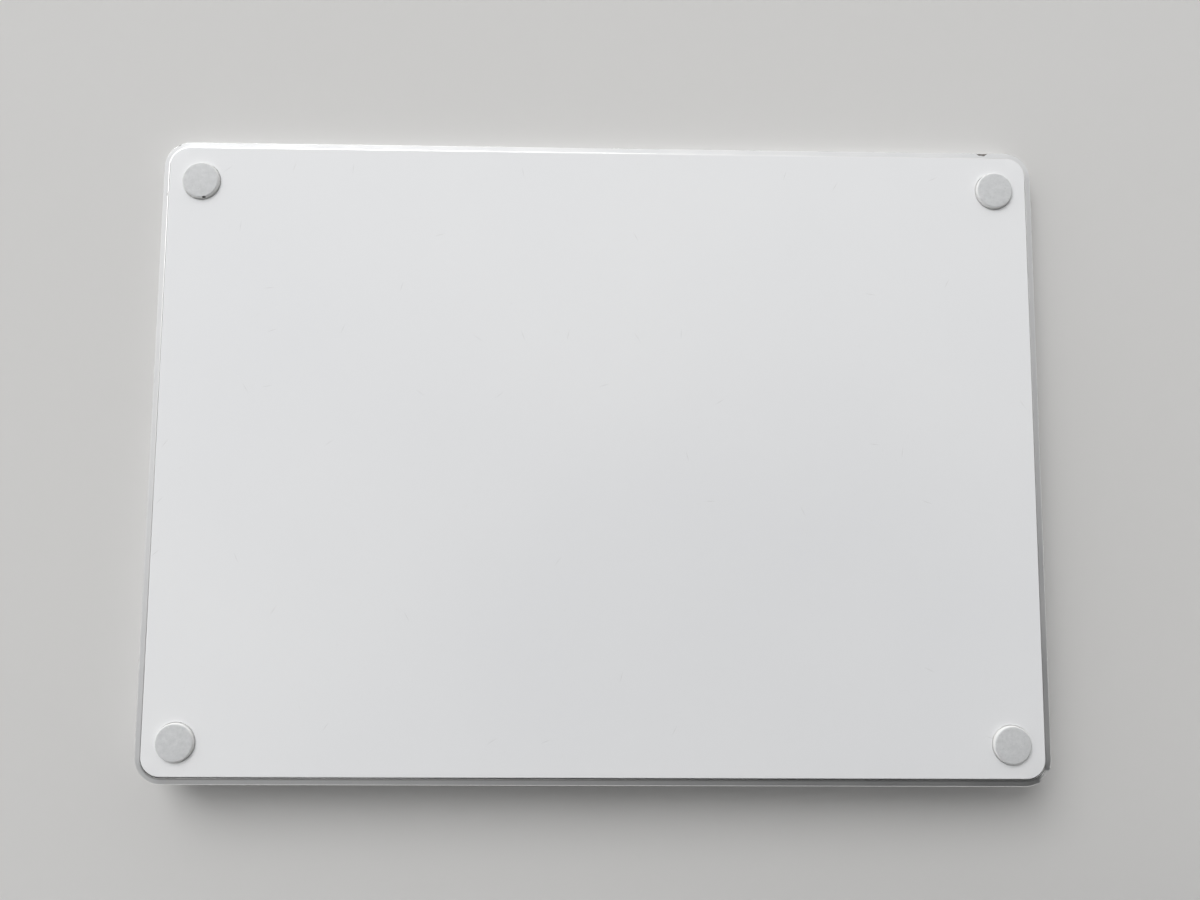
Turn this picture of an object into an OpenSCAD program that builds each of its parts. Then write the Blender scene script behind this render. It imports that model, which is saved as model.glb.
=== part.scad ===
// Slim wireless trackpad that stands on a desk. A wedge-shaped aluminium tub is closed by a glass touch
// surface on top and by a plastic cover with four rubber feet underneath.
// Sizes are millimetres. The feet stand on z = 0 and the pad is centred on the origin in plan: +X is the
// user's right, -Y is the thin front edge and +Y is the thick rear edge.

/* [Overall size] */
// Width of the pad, side to side
pad_w = 160; // [150:1:200]
// Depth of the pad, front to rear
pad_d = 114.9; // [112:0.1:135]
// Height of the touch surface above the desk at the front edge
front_h = 4.9; // [4.85:0.05:6]
// Height of the touch surface above the desk at the rear edge
rear_h = 10.9; // [10.7:0.1:12.5]
// Corner radius of the outline in plan
corner_r = 4.8; // [4.2:0.1:8]

/* [Housing] */
// Thickness of the side walls
wall_t = 2; // [1.6:0.1:2.4]
// Thickness of the floor
floor_t = 0.7; // [0.5:0.05:0.8]
// Width of the sloping rim around the cover, seen from below
rim_chamfer_w = 1.15; // [0.8:0.05:1.3]
// Height of the sloping rim
rim_chamfer_h = 0.55; // [0.4:0.05:0.8]
// Width of the narrow flat between the sloping rim and the cover
rim_flat = 0.1; // [0.05:0.05:0.2]
// Seam between the glass and the top of the walls
seam_gap = 0.35; // [0.3:0.05:0.5]
// Thickness of the ribs around the battery bay
rib_t = 1; // [0.8:0.1:1.4]
// Height of the ribs around the battery bay
rib_h = 1.4; // [0.8:0.1:2]
// Radius of the screw bosses
boss_r = 2.1; // [1.7:0.1:2.4]

/* [Bottom cover] */
// Thickness of the cover
cover_t = 0.8; // [0.7:0.05:0.9]
// How far the cover stands below the rim
cover_proud = 0.3; // [0.1:0.05:0.4]
// Gap between the cover and the rim
cover_gap = 0.15; // [0.05:0.05:0.3]
// Share of that gap by which the cover is set towards the front
cover_set = 0.6; // [0:0.1:0.8]
// Bevel along the cover's lower edge
cover_bevel = 0.15; // [0.05:0.05:0.3]
// Thickness of the adhesive that holds the cover
cover_glue_t = 0.1; // [0.05:0.05:0.15]
// Width of the adhesive's border
cover_glue_w = 7; // [4:0.5:12]

/* [Feet] */
// Diameter of a foot
foot_dia = 6.7; // [5:0.1:9]
// How far a foot stands below the cover
foot_proud = 0.7; // [0.5:0.05:0.8]
// Depth of the round seat that holds a foot in the cover
foot_seat = 0.4; // [0.2:0.05:0.5]
// Gap between a foot and the wall of its seat
foot_gap = 0.1; // [0.05:0.05:0.3]
// Rounding of a foot's lower edge
foot_edge_r = 0.3; // [0.1:0.05:0.4]
// Distance of the foot centres from the sides
foot_inset_side = 7.3; // [6.5:0.05:14]
// Distance of the front foot centres from the front edge
foot_inset_front = 7.65; // [6.5:0.05:14]
// Distance of the rear foot centres from the rear edge
foot_inset_rear = 7.35; // [6.5:0.05:14]

/* [Touch surface] */
// Thickness of the glass
glass_t = 1; // [0.8:0.05:1.05]
// Thickness of the bond under the glass
bond_t = 0.1; // [0.05:0.05:0.15]
// Thickness of the sensor board
sensor_t = 0.6; // [0.5:0.05:0.65]
// Thickness of the stiffener plate
stiffener_t = 0.5; // [0.4:0.05:0.55]
// Distance of the layers under the glass from the outline
stack_inset = 3; // [2.6:0.1:3.2]
// Size of the stiffener's window for the touch controller, side to side
window_w = 26; // [24:1:30]
// Size of the stiffener's window for the touch controller, front to rear
window_d = 10; // [9.5:0.5:12]
// Distance of the window's centre from the middle, towards the left
window_left = 25; // [20:0.5:30]
// Distance of the window's centre from the rear edge
window_inset = 11; // [10:0.5:13]

/* [Suspension] */
// Thickness of the gel pads between the springs and the stiffener
gel_t = 0.5; // [0.45:0.05:0.55]
// Thickness of the spring plates
flexure_t = 0.4; // [0.3:0.05:0.45]
// Width of a spring plate
flexure_w = 13; // [12:0.5:15]
// Length of a spring plate
flexure_l = 23; // [22:0.5:26]
// Distance of a spring plate's screws from its middle
flexure_screw_y = 8.5; // [8:0.1:9]
// Width of the tongue that carries the gel pad
tongue_w = 6.5; // [5.5:0.1:7]
// Length of the tongue
tongue_l = 10; // [9:0.1:11]
// Width of the slot that frees the tongue
slot_w = 1; // [0.6:0.1:1.2]
// Distance of the spring plates' centres from the sides
flexure_inset_side = 12; // [11.5:0.5:16]
// Distance of the front spring plates' centres from the front edge
flexure_inset_front = 25; // [24:0.5:30]
// Distance of the rear spring plates' centres from the rear edge
flexure_inset_rear = 24; // [22:0.5:30]

/* [Haptic actuator] */
// Thickness of the bracket plate
haptic_plate_t = 0.4; // [0.3:0.05:0.5]
// Thickness of the iron core
core_t = 0.9; // [0.7:0.05:1]
// Width of each limb of the core
limb_w = 4; // [3:0.1:5]
// Length of each limb of the core
limb_l = 25; // [22:0.5:35]
// Distance between the middles of the two limbs
limb_pitch = 9; // [8.5:0.1:10]
// Width of the yoke that joins the limbs
yoke_w = 5; // [4:0.1:7]
// Thickness of the winding beside a limb
coil_side_t = 0.8; // [0.5:0.05:0.9]
// Thickness of the winding above and below a limb
coil_face_t = 0.3; // [0.2:0.05:0.35]
// Length of a winding
coil_l = 18; // [12:0.5:19]
// Air gap between the limbs and the armature
air_gap = 0.5; // [0.4:0.05:0.8]
// Width of the armature bar
armature_w = 4; // [3:0.1:6]

/* [Battery] */
// Width of the pouch cell
cell_w = 90; // [70:1:96]
// Depth of the pouch cell's body
cell_d = 38; // [30:0.5:39]
// Thickness of the pouch cell
cell_t = 2.8; // [2.2:0.05:2.9]
// Corner radius of the pouch cell
cell_r = 2; // [1:0.1:4]
// Depth of the thin sealed edge at the cell's rear
terrace_d = 3.2; // [2.8:0.1:3.6]
// Thickness of the sealed edge
terrace_t = 1; // [0.6:0.05:1.4]
// Gap between the cell and the ribs of its bay
bay_gap = 0.3; // [0.2:0.05:0.6]
// Thickness of the adhesive under the cell
cell_glue_t = 0.15; // [0.1:0.05:0.2]

/* [Main board] */
// Width of the main board
board_w = 92; // [84:1:98]
// Depth of the main board
board_d = 11.5; // [11:0.1:12]
// Thickness of the main board
board_t = 0.8; // [0.6:0.05:1]
// Gap between the main board and the rear wall
board_gap = 0.5; // [0.3:0.05:0.8]
// Height of the plug-in connectors
connector_h = 0.9; // [0.7:0.05:1]
// Thickness of the flat flexible leads
flex_t = 0.15; // [0.1:0.05:0.2]

/* [Charging port] */
// Width of the port's opening
port_open_w = 8.34; // [7:0.02:9]
// Height of the port's opening
port_open_h = 2.56; // [2.2:0.02:2.7]
// Wall of the port's metal shell
port_shell_t = 0.3; // [0.2:0.05:0.4]
// Length of the port's shell
port_l = 7.4; // [6.5:0.1:8]
// Height of the port's centre above the desk
port_z = 5.7; // [5.5:0.05:6.2]
// Gap between the port's shell and its window in the wall
port_gap = 0.15; // [0.1:0.05:0.3]
// How far the port's mouth lies inside the rear face
port_recess = 0.3; // [0.1:0.05:0.8]
// Width of the port's tongue
port_tongue_w = 6.7; // [5:0.1:7]
// Thickness of the port's tongue
port_tongue_t = 0.7; // [0.5:0.05:0.9]

/* [Power switch] */
// Distance of the switch's middle from the left side
switch_inset = 20; // [18:0.5:24]
// Height of the switch's centre above the desk
switch_z = 5.7; // [5.5:0.05:5.9]
// Length of the knob
knob_l = 4.6; // [4:0.1:6]
// Height of the knob
knob_h = 2.4; // [2:0.1:3]
// How far the knob slides
knob_travel = 2.5; // [1.5:0.1:3]
// Gap between the knob and its window in the wall
knob_gap = 0.2; // [0.15:0.05:0.4]
// How far the knob's face lies inside the rear face
knob_recess = 0.25; // [0.1:0.05:0.6]
// Thickness of the shutter that slides behind the wall
shutter_t = 0.6; // [0.4:0.05:0.7]
// How far the shutter overlaps the window on each side
shutter_lap = 0.6; // [0.4:0.1:0.8]

/* [Fasteners] */
// Radius of the screw threads
screw_r = 0.6; // [0.5:0.05:0.7]
// Radius of the screw heads
screw_head_r = 1.1; // [0.9:0.05:1.2]
// Height of the screw heads
screw_head_h = 0.4; // [0.3:0.05:0.45]
// Gap between a screw and its hole
screw_gap = 0.1; // [0.05:0.05:0.15]
// Length of thread in a boss or in the floor
thread_l = 0.6; // [0.4:0.05:0.65]

/* [Hidden] */
$fn = 48;

// Heights above the desk
cover_top = foot_proud + cover_t;
floor_bot = cover_top + cover_glue_t;
floor_top = floor_bot + floor_t;
chamfer_bot = foot_proud + cover_proud;
cell_bot = floor_top + cell_glue_t;
terrace_top = cell_bot + terrace_t;
haptic_top = floor_top + haptic_plate_t;
core_bot = haptic_top + coil_face_t;
port_h = port_open_h + 2 * port_shell_t;
port_w = port_open_w + 2 * port_shell_t;
board_top = port_z - port_h / 2;
board_bot = board_top - board_t;
connector_top = board_top + connector_h;

// The touch surface lies on a plane that rises from the front edge to the rear edge
deck_tilt = atan((rear_h - front_h) / pad_d);
deck_mid_z = (front_h + rear_h) / 2;
deck_len = pad_d / cos(deck_tilt);
reach = 2 * pad_w;

// Small corner radius that boards, pads and windows share
plate_r = 1;

// Depths below the touch surface, square to it
sensor_depth = glass_t + bond_t;
stiffener_depth = sensor_depth + sensor_t;
gel_depth = stiffener_depth + stiffener_t;
flexure_depth = gel_depth + gel_t;
boss_depth = flexure_depth + flexure_t;
wall_depth = glass_t + seam_gap;

// Insets from the outline
lip_inset = rim_chamfer_w + rim_flat;
cover_inset = lip_inset + cover_gap;
glue_setback = 1.5;
glue_inset = cover_inset + glue_setback;

// Feet
foot_sites = [
    for (side = [-1, 1], end = [-1, 1])
        [side * (pad_w / 2 - foot_inset_side),
         end * (pad_d / 2 - (end < 0 ? foot_inset_front : foot_inset_rear))]
];

// Spring plates, in the plane of the touch surface: front left, rear left, front right, rear right
flexure_sites = [
    for (side = [-1, 1], end = [-1, 1])
        [side * (pad_w / 2 - flexure_inset_side),
         end * (deck_len / 2 - (end < 0 ? flexure_inset_front : flexure_inset_rear))]
];
flexure_screw_sites = [
    for (site = flexure_sites, end = [-1, 1]) [site[0], site[1] + end * flexure_screw_y]
];
flexure_r = 1.5;
tongue_root = -(tongue_l + slot_w) / 2;
head_clear = 0.7;
gauge_size = [3, 2.4, 0.12];
gel_margin = 0.5;
gel_size = [tongue_w - 2 * gel_margin, 5];
strip_w = 1.6;

// Rear row: the main board lies along the rear wall with the battery in front of it
rear_in = pad_d / 2 - wall_t;
board_rear = rear_in - board_gap;
board_front = board_rear - board_d;
board_mid = (board_rear + board_front) / 2;
bay_rear = board_front - bay_gap - rib_t;
terrace_rear = bay_rear - bay_gap;
cell_rear = terrace_rear - terrace_d;
cell_front = cell_rear - cell_d;
bay_front = cell_front - bay_gap;
board_screw_inset = 3;
board_screw_x = board_w / 2 - board_screw_inset;
pcb_size = [24, 2.4, 0.8];
cell_glue_w = 30;
cell_glue_margin = 4;
battery_lead_shift = 6;
battery_lead_x = -battery_lead_shift;
battery_lead_w = 4;
battery_plug = [6, 2];
battery_plug_inset = 2.2;
battery_plug_y = board_front + battery_plug_inset;

// The flexible lead from the sensor board folds between two connectors, one above the other
sensor_lead_shift = 4;
sensor_lead_x = -window_left - sensor_lead_shift;
sensor_lead_y = pad_d / 2 - window_inset;
sensor_lead_w = 8;
sensor_plug = [10, 3, 1];
sensor_lead_l = 2.5;
plug_gap = 0.05;
fold_top = deck_mid_z + (sensor_lead_y - sensor_plug[1] / 2) * tan(deck_tilt)
    - (stiffener_depth + sensor_plug[2]) / cos(deck_tilt) - plug_gap;
fold_bot = connector_top + plug_gap;
fold_r = (fold_top - fold_bot) / 2;

// Haptic actuator: the limbs point to the right, at the armature
haptic_gap = 1;
haptic_margin = 1;
coil_w = limb_w + 2 * coil_side_t;
coil_h = core_t + 2 * coil_face_t;
haptic_d = limb_pitch + coil_w + 2 * haptic_margin;
haptic_rear = bay_front - rib_t - haptic_gap;
haptic_y = haptic_rear - haptic_d / 2;
limb_tip = 10;
yoke_x = limb_tip - limb_l;
bare_tip = 3;
coil_x = limb_tip - bare_tip - coil_l;
haptic_tab = 6;
haptic_back = yoke_x - yoke_w - haptic_tab;
haptic_screw_y = 5.5;
haptic_screw_sites = [
    [haptic_back + haptic_tab / 2, haptic_y - haptic_screw_y],
    [haptic_back + haptic_tab / 2, haptic_y + haptic_screw_y],
    [limb_tip - bare_tip / 2, haptic_y]
];
armature_lift = 0.6;

// Charging port, in the middle of the rear wall
port_mouth = pad_d / 2 - port_recess;
port_back = port_mouth - port_l;
port_base_l = 2;
port_tongue_recess = 0.8;
strap_t = 0.4;
strap_gap = 0.1;
strap_l = 3.4;
strap_ear = 3.2;
strap_x = port_w / 2 + strap_gap + strap_t + strap_ear / 2;
strap_inset = 2.2;
strap_y = port_back + strap_inset;

// Power switch, at the left of the rear wall. The knob rests at the left end of its window
switch_x = -pad_w / 2 + switch_inset;
knob_x = switch_x - knob_travel / 2;
window_l = knob_l + knob_travel + 2 * knob_gap;
window_h = knob_h + 2 * knob_gap;
shutter_y = rear_in - knob_gap / 2;
shutter_l = window_l + knob_travel + 2 * shutter_lap;
shutter_h = window_h + 2 * shutter_lap;
stem = [1.2, 2, 1.2];
stem_gap = 0.3;
case_size = [9, 3.4, 3.6];
case_gap = 0.9;
case_rear = shutter_y - shutter_t - case_gap;
case_front = case_rear - case_size[1];
bracket_t = 0.5;
bracket_l = 18;
bracket_top = switch_z - case_size[2] / 2;
bracket_bot = bracket_top - bracket_t;
bracket_d = case_size[1] + 2 * bracket_t;
bracket_screw_inset = 2;
bracket_screw_x = bracket_l / 2 - bracket_screw_inset;
bracket_screw_setback = 1.3;
bracket_screw_y = case_front + bracket_screw_setback;
bracket_screw_sites = [for (side = [-1, 1]) [switch_x + side * bracket_screw_x, bracket_screw_y]];
switch_flex_lap = 2;
knob_rib = [0.6, 1.2];
knob_rib_recess = 0.06;

// Antenna at the right end of the main board, over a slot in the floor that lets the signal out
antenna_size = [14, 3, 0.3];
antenna_x = board_w / 2 - antenna_size[0];
antenna_inset = 1.8;
antenna_y = board_front + antenna_inset;
antenna_h = 1.6;
antenna_leg = [0.3, 1];
antenna_legs = [0, 4];
antenna_slot = [16, 3.4];

// Parts on the main board, placed from its ends: the supply chip from the left screw, and the radio, the
// can and the charger chip in a row from the antenna. The processor lies left of the port
chip_gap = 1.5;
chip_edge = 0.8;
supply_chip = [4, 4, 0.8];
supply_gap = 6;
supply_x = -board_screw_x + supply_gap;
processor_chip = [5, 5, 0.9];
processor_shift = 16;
processor_x = -processor_shift;
radio_size = [7, 8, 1.5];
radio_x = antenna_x - chip_gap - radio_size[0] / 2;
can_size = [5, 8, 1.6];
can_wall = 0.2;
can_r = 0.5;
can_x = radio_x - radio_size[0] / 2 - chip_gap - can_size[0] / 2;
charger_chip = [3, 4, 0.7];
charger_x = can_x - can_size[0] / 2 - chip_gap - charger_chip[0] / 2;

// Chips on the sensor board, right of its connector
sensor_chip_gap = 0.5;
controller_chip = [7, 7, 0.9];
controller_x = sensor_lead_x + (sensor_plug[0] + controller_chip[0]) / 2 + sensor_chip_gap;
helper_chip = [2.5, 5, 0.7];
helper_x = controller_x + (controller_chip[0] + helper_chip[0]) / 2 + sensor_chip_gap;

// Rectangle with round corners, centred on the origin
module rounded_rect(w, d, r) {
    square([w - 2 * r, d], center = true);
    square([w, d - 2 * r], center = true);
    for (side = [-1, 1], end = [-1, 1])
        translate([side * (w / 2 - r), end * (d / 2 - r)]) circle(r);
}

// Flat plate with round corners that stands on z = 0
module rounded_plate(w, d, r, t) {
    linear_extrude(t) rounded_rect(w, d, r);
}

// Plate of the pad's own outline, drawn in by an inset
module outline_plate(inset, t) {
    rounded_plate(pad_w - 2 * inset, pad_d - 2 * inset, corner_r - inset, t);
}

// Slot outline with round ends, centred on the origin
module oblong(w, h) {
    square([w - h, h], center = true);
    for (side = [-1, 1]) translate([side * (w - h) / 2, 0]) circle(h / 2);
}

// Section of a plate whose sides slope outwards over its lowest part, out to a distance w from its middle
module edge_section(w, slope_w, slope_h, h) {
    polygon([[slope_w - w, 0], [w - slope_w, 0], [w, slope_h], [w, h], [-w, h], [-w, slope_h]]);
}

// Plate of the pad's outline, drawn in by an inset, whose edge slopes outwards over its lowest part
module sloped_outline(inset, slope_w, slope_h, h) {
    w = pad_w / 2 - inset;
    d = pad_d / 2 - inset;
    r = corner_r - inset;
    rotate([90, 0, 0]) linear_extrude(2 * (d - r), center = true) edge_section(w, slope_w, slope_h, h);
    rotate([90, 0, 90]) linear_extrude(2 * (w - r), center = true) edge_section(d, slope_w, slope_h, h);
    for (side = [-1, 1], end = [-1, 1])
        translate([side * (w - r), end * (d - r), 0])
            rotate_extrude()
                intersection() {
                    edge_section(r, slope_w, slope_h, h);
                    square([r, h]);
                }
}

// Places its children on the sloping plane of the touch surface
module on_deck() {
    translate([0, 0, deck_mid_z]) rotate([deck_tilt, 0, 0]) children();
}

// All the space that lies deeper than a given depth under the touch surface
module below_deck(depth) {
    on_deck() translate([-reach, -reach, -depth - 2 * reach]) cube(2 * reach);
}

// Layer of the stack under the glass
module deck_plate(depth, t) {
    on_deck()
        translate([0, 0, -depth - t])
            rounded_plate(pad_w - 2 * stack_inset, deck_len - 2 * stack_inset, corner_r - stack_inset, t);
}

// Draws its children through the rear wall, from their outline in width and height
module through_rear(x, z, y_from, y_to) {
    translate([x, y_to, z]) rotate([90, 0, 0]) linear_extrude(y_to - y_from) children();
}

// Pan-head screw that points down, with the underside of its head on z = 0
module screw(thread) {
    cylinder(h = screw_head_h, r = screw_head_r);
    translate([0, 0, -thread]) cylinder(h = thread, r = screw_r);
}

// Hole for a screw, open above z = 0 and with a given depth below it
module screw_hole(depth) {
    translate([0, 0, -depth]) cylinder(h = depth + screw_head_h, r = screw_r + screw_gap);
}

// Round boss from inside the floor up to a given height
module floor_boss(top) {
    translate([0, 0, floor_bot + floor_t / 2]) cylinder(h = top - floor_bot - floor_t / 2, r = boss_r);
}

// Bosses of the spring plates, square to the touch surface and cut off inside the floor
module flexure_bosses() {
    intersection() {
        for (site = flexure_screw_sites)
            on_deck() translate([site[0], site[1], -boss_depth - rear_h]) cylinder(h = rear_h, r = boss_r);
        translate([0, 0, floor_bot + floor_t / 2]) outline_plate(wall_t / 2, rear_h);
    }
}

// Rib frame that keeps the battery in its place
module battery_bay() {
    bay_w = cell_w + 2 * bay_gap;
    bay_d = bay_rear - bay_front;
    translate([0, (bay_rear + bay_front) / 2, floor_bot + floor_t / 2])
        linear_extrude(floor_t / 2 + rib_h)
            difference() {
                rounded_rect(bay_w + 2 * rib_t, bay_d + 2 * rib_t, cell_r + rib_t);
                rounded_rect(bay_w, bay_d, cell_r);
            }
}

module board_bosses() {
    for (side = [-1, 1]) {
        translate([side * board_screw_x, board_mid, 0]) floor_boss(board_bot);
        translate([side * strap_x, strap_y, 0]) floor_boss(board_bot);
    }
}

module switch_bosses() {
    for (site = bracket_screw_sites) translate([site[0], site[1], 0]) floor_boss(bracket_bot);
}

// Aluminium tub: sloping rim, walls cut off along the touch surface, floor, bosses and ribs
module housing() {
    color("silver")
        difference() {
            union() {
                difference() {
                    intersection() {
                        translate([0, 0, chamfer_bot])
                            sloped_outline(0, rim_chamfer_w, rim_chamfer_h, rear_h);
                        below_deck(wall_depth);
                    }
                    translate([0, 0, floor_top]) outline_plate(wall_t, rear_h);
                    outline_plate(lip_inset, floor_bot);
                    translate([antenna_x + antenna_size[0] / 2, antenna_y, 0])
                        rounded_plate(antenna_slot[0], antenna_slot[1], plate_r, rear_h);
                }
                flexure_bosses();
                battery_bay();
                board_bosses();
                switch_bosses();
            }
            for (site = flexure_screw_sites)
                on_deck() translate([site[0], site[1], -boss_depth]) screw_hole(thread_l + screw_gap);
            for (site = haptic_screw_sites)
                translate([site[0], site[1], floor_top]) screw_hole(thread_l + screw_gap);
            for (side = [-1, 1]) {
                translate([side * board_screw_x, board_mid, board_bot]) screw_hole(thread_l + screw_gap);
                translate([side * strap_x, strap_y, board_bot]) screw_hole(thread_l + screw_gap);
            }
            for (site = bracket_screw_sites)
                translate([site[0], site[1], bracket_bot]) screw_hole(thread_l + screw_gap);
            through_rear(0, port_z, rear_in - wall_t / 2, pad_d)
                oblong(port_w + 2 * port_gap, port_h + 2 * port_gap);
            through_rear(switch_x, switch_z, rear_in - wall_t / 2, pad_d) oblong(window_l, window_h);
        }
}

// White plastic cover with a fine bevel along its lower edge and a round seat for each foot
module bottom_cover() {
    color("whitesmoke")
        difference() {
            translate([0, -cover_set * cover_gap, foot_proud])
                sloped_outline(cover_inset, cover_bevel, cover_bevel, cover_t);
            for (site = foot_sites)
                translate([site[0], site[1], 0])
                    cylinder(h = foot_proud + foot_seat, r = foot_dia / 2 + foot_gap);
        }
}

// Adhesive frame with a bar across its middle
module cover_adhesive() {
    glue_w = pad_w - 2 * glue_inset;
    glue_d = pad_d - 2 * glue_inset;
    open_w = (glue_w - 3 * cover_glue_w) / 2;
    color("gray")
        translate([0, 0, cover_top])
            linear_extrude(cover_glue_t)
                difference() {
                    rounded_rect(glue_w, glue_d, corner_r - glue_inset);
                    for (side = [-1, 1])
                        translate([side * (open_w + cover_glue_w) / 2, 0])
                            square([open_w, glue_d - 2 * cover_glue_w], center = true);
                }
}

// Rubber disc with a rounded lower edge, seated in the cover
module foot(side, end) {
    r = foot_dia / 2;
    h = foot_proud + foot_seat;
    site = foot_sites[(side < 0 ? 0 : 2) + (end < 0 ? 0 : 1)];
    color("darkgray")
        translate([site[0], site[1], 0])
            rotate_extrude() {
                square([r - foot_edge_r, h]);
                translate([0, foot_edge_r]) square([r, h - foot_edge_r]);
                intersection() {
                    translate([r - foot_edge_r, foot_edge_r]) circle(foot_edge_r);
                    square(r);
                }
            }
}

module foot_front_left() { foot(-1, -1); }
module foot_front_right() { foot(1, -1); }
module foot_rear_left() { foot(-1, 1); }
module foot_rear_right() { foot(1, 1); }

// Glass over the whole top of the pad
module touch_glass() {
    color("white")
        intersection() {
            outline_plate(0, 2 * rear_h);
            on_deck() translate([-reach, -reach, -glass_t]) cube([2 * reach, 2 * reach, glass_t]);
        }
}

module glass_bond() {
    color("ivory") deck_plate(glass_t, bond_t);
}

module sensor_board() {
    color("darkgreen") deck_plate(sensor_depth, sensor_t);
}

// Touch controller and its helper chip, on the underside of the sensor board
module touch_controller() {
    color("dimgray")
        on_deck()
            for (chip = [[controller_x, controller_chip], [helper_x, helper_chip]]) {
                size = chip[1];
                y = deck_len / 2 - window_inset;
                translate([chip[0] - size[0] / 2, y - size[1] / 2, -stiffener_depth - size[2]]) cube(size);
            }
}

// Connector on the underside of the sensor board
module sensor_connector() {
    color("black")
        on_deck()
            translate([sensor_lead_x - sensor_plug[0] / 2, deck_len / 2 - window_inset - sensor_plug[1] / 2,
                -stiffener_depth - sensor_plug[2]])
                cube(sensor_plug);
}

// Steel plate with a window for the chips and round clearances for the spring plates' screws
module stiffener_plate() {
    color("lightsteelblue")
        difference() {
            deck_plate(stiffener_depth, stiffener_t);
            on_deck() {
                translate([-window_left, deck_len / 2 - window_inset, -gel_depth - stiffener_t])
                    rounded_plate(window_w, window_d, plate_r, 3 * stiffener_t);
                for (site = flexure_screw_sites)
                    translate([site[0], site[1], -gel_depth - stiffener_t])
                        cylinder(h = 3 * stiffener_t, r = screw_head_r + head_clear);
            }
        }
}

// Spring plate: a U-shaped slot frees a tongue that bends when the glass is pressed
module flexure(site) {
    color("lightgray")
        on_deck()
            translate([site[0], site[1], -boss_depth])
                linear_extrude(flexure_t)
                    difference() {
                        rounded_rect(flexure_w, flexure_l, flexure_r);
                        difference() {
                            translate([-tongue_w / 2 - slot_w, tongue_root])
                                square([tongue_w + 2 * slot_w, tongue_l + slot_w]);
                            translate([-tongue_w / 2, tongue_root]) square([tongue_w, tongue_l]);
                        }
                        for (side = [-1, 1])
                            translate([side * (tongue_w + slot_w) / 2, tongue_root]) circle(slot_w / 2);
                        for (end = [-1, 1])
                            translate([0, end * flexure_screw_y]) circle(screw_r + screw_gap);
                    }
}

module flexure_front_left() { flexure(flexure_sites[0]); }
module flexure_rear_left() { flexure(flexure_sites[1]); }
module flexure_front_right() { flexure(flexure_sites[2]); }
module flexure_rear_right() { flexure(flexure_sites[3]); }

// Soft pads between the tongues and the stiffener
module gel_pads() {
    color("lightblue")
        on_deck()
            for (site = flexure_sites)
                translate([site[0], site[1] + slot_w, -flexure_depth])
                    rounded_plate(gel_size[0], gel_size[1], plate_r, gel_t);
}

// Strain gauges at the roots of the tongues
module strain_gauges() {
    color("goldenrod")
        on_deck()
            for (site = flexure_sites)
                translate([site[0] - gauge_size[0] / 2, site[1] + tongue_root, -flexure_depth])
                    cube(gauge_size);
}

// Flexible strips along each side that join the front and rear gauges
module gauge_flex() {
    color("darkorange")
        on_deck()
            for (side = [-1, 1]) {
                front = flexure_sites[side < 0 ? 0 : 2];
                rear = flexure_sites[side < 0 ? 1 : 3];
                strip_x = front[0] - side * (flexure_w / 2 - strip_w / 2 - slot_w / 2);
                translate([strip_x - strip_w / 2, front[1] + tongue_root, -flexure_depth])
                    cube([strip_w, rear[1] - front[1] + strip_w, flex_t]);
                for (site = [front, rear]) {
                    tail_end = site[0] - side * gauge_size[0] / 2;
                    translate([min(strip_x, tail_end), site[1] + tongue_root, -flexure_depth])
                        cube([abs(strip_x - tail_end), strip_w, flex_t]);
                }
            }
}

module flexure_screws() {
    color("slategray")
        on_deck()
            for (site = flexure_screw_sites)
                translate([site[0], site[1], -flexure_depth]) screw(flexure_t + thread_l);
}

// Stamped plate with a raised seat for the yoke of the core
module haptic_bracket() {
    color("lightslategray")
        difference() {
            union() {
                translate([haptic_back, haptic_y - haptic_d / 2, floor_top])
                    cube([limb_tip - haptic_back, haptic_d, haptic_plate_t]);
                translate([yoke_x - yoke_w, haptic_y - limb_pitch / 2, floor_top])
                    cube([yoke_w, limb_pitch, core_bot - floor_top]);
            }
            for (site = haptic_screw_sites)
                translate([site[0], site[1], haptic_top]) screw_hole(2 * haptic_plate_t);
        }
}

// Iron core in the shape of a U that lies flat
module haptic_core() {
    color("gray")
        translate([0, haptic_y, core_bot])
            linear_extrude(core_t) {
                translate([yoke_x - yoke_w, -(limb_pitch + limb_w) / 2])
                    square([yoke_w, limb_pitch + limb_w]);
                for (end = [-1, 1])
                    translate([yoke_x - yoke_w, end * limb_pitch / 2 - limb_w / 2])
                        square([yoke_w + limb_l, limb_w]);
            }
}

// A winding round each limb
module haptic_coils() {
    color("peru")
        for (end = [-1, 1])
            translate([coil_x, haptic_y + end * limb_pitch / 2, core_bot + core_t / 2])
                rotate([90, 0, 90])
                    linear_extrude(coil_l)
                        difference() {
                            rounded_rect(coil_w, coil_h, coil_face_t);
                            square([limb_w, core_t], center = true);
                        }
}

// Iron bar under the stiffener, across the tips of the limbs
module haptic_armature() {
    color("darkslategray")
        intersection() {
            translate([limb_tip + air_gap, haptic_y - (limb_pitch + limb_w) / 2, floor_top + armature_lift])
                cube([armature_w, limb_pitch + limb_w, rear_h]);
            below_deck(gel_depth);
        }
}

module haptic_screws() {
    color("slategray")
        for (site = haptic_screw_sites)
            translate([site[0], site[1], haptic_top]) screw(haptic_plate_t + thread_l);
}

// Pouch cell with a thin sealed edge at its rear
module battery_cell() {
    color("dimgray") {
        translate([0, cell_rear - cell_d / 2, cell_bot]) rounded_plate(cell_w, cell_d, cell_r, cell_t);
        translate([-cell_w / 2 + cell_r, cell_rear - cell_r, cell_bot])
            cube([cell_w - 2 * cell_r, cell_r + terrace_d, terrace_t]);
    }
}

module battery_adhesive() {
    color("lightyellow")
        for (side = [-1, 1])
            translate([side * cell_w / 4, cell_rear - cell_d / 2, floor_top])
                rounded_plate(cell_glue_w, cell_d - 2 * cell_glue_margin, cell_r, cell_glue_t);
}

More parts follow.
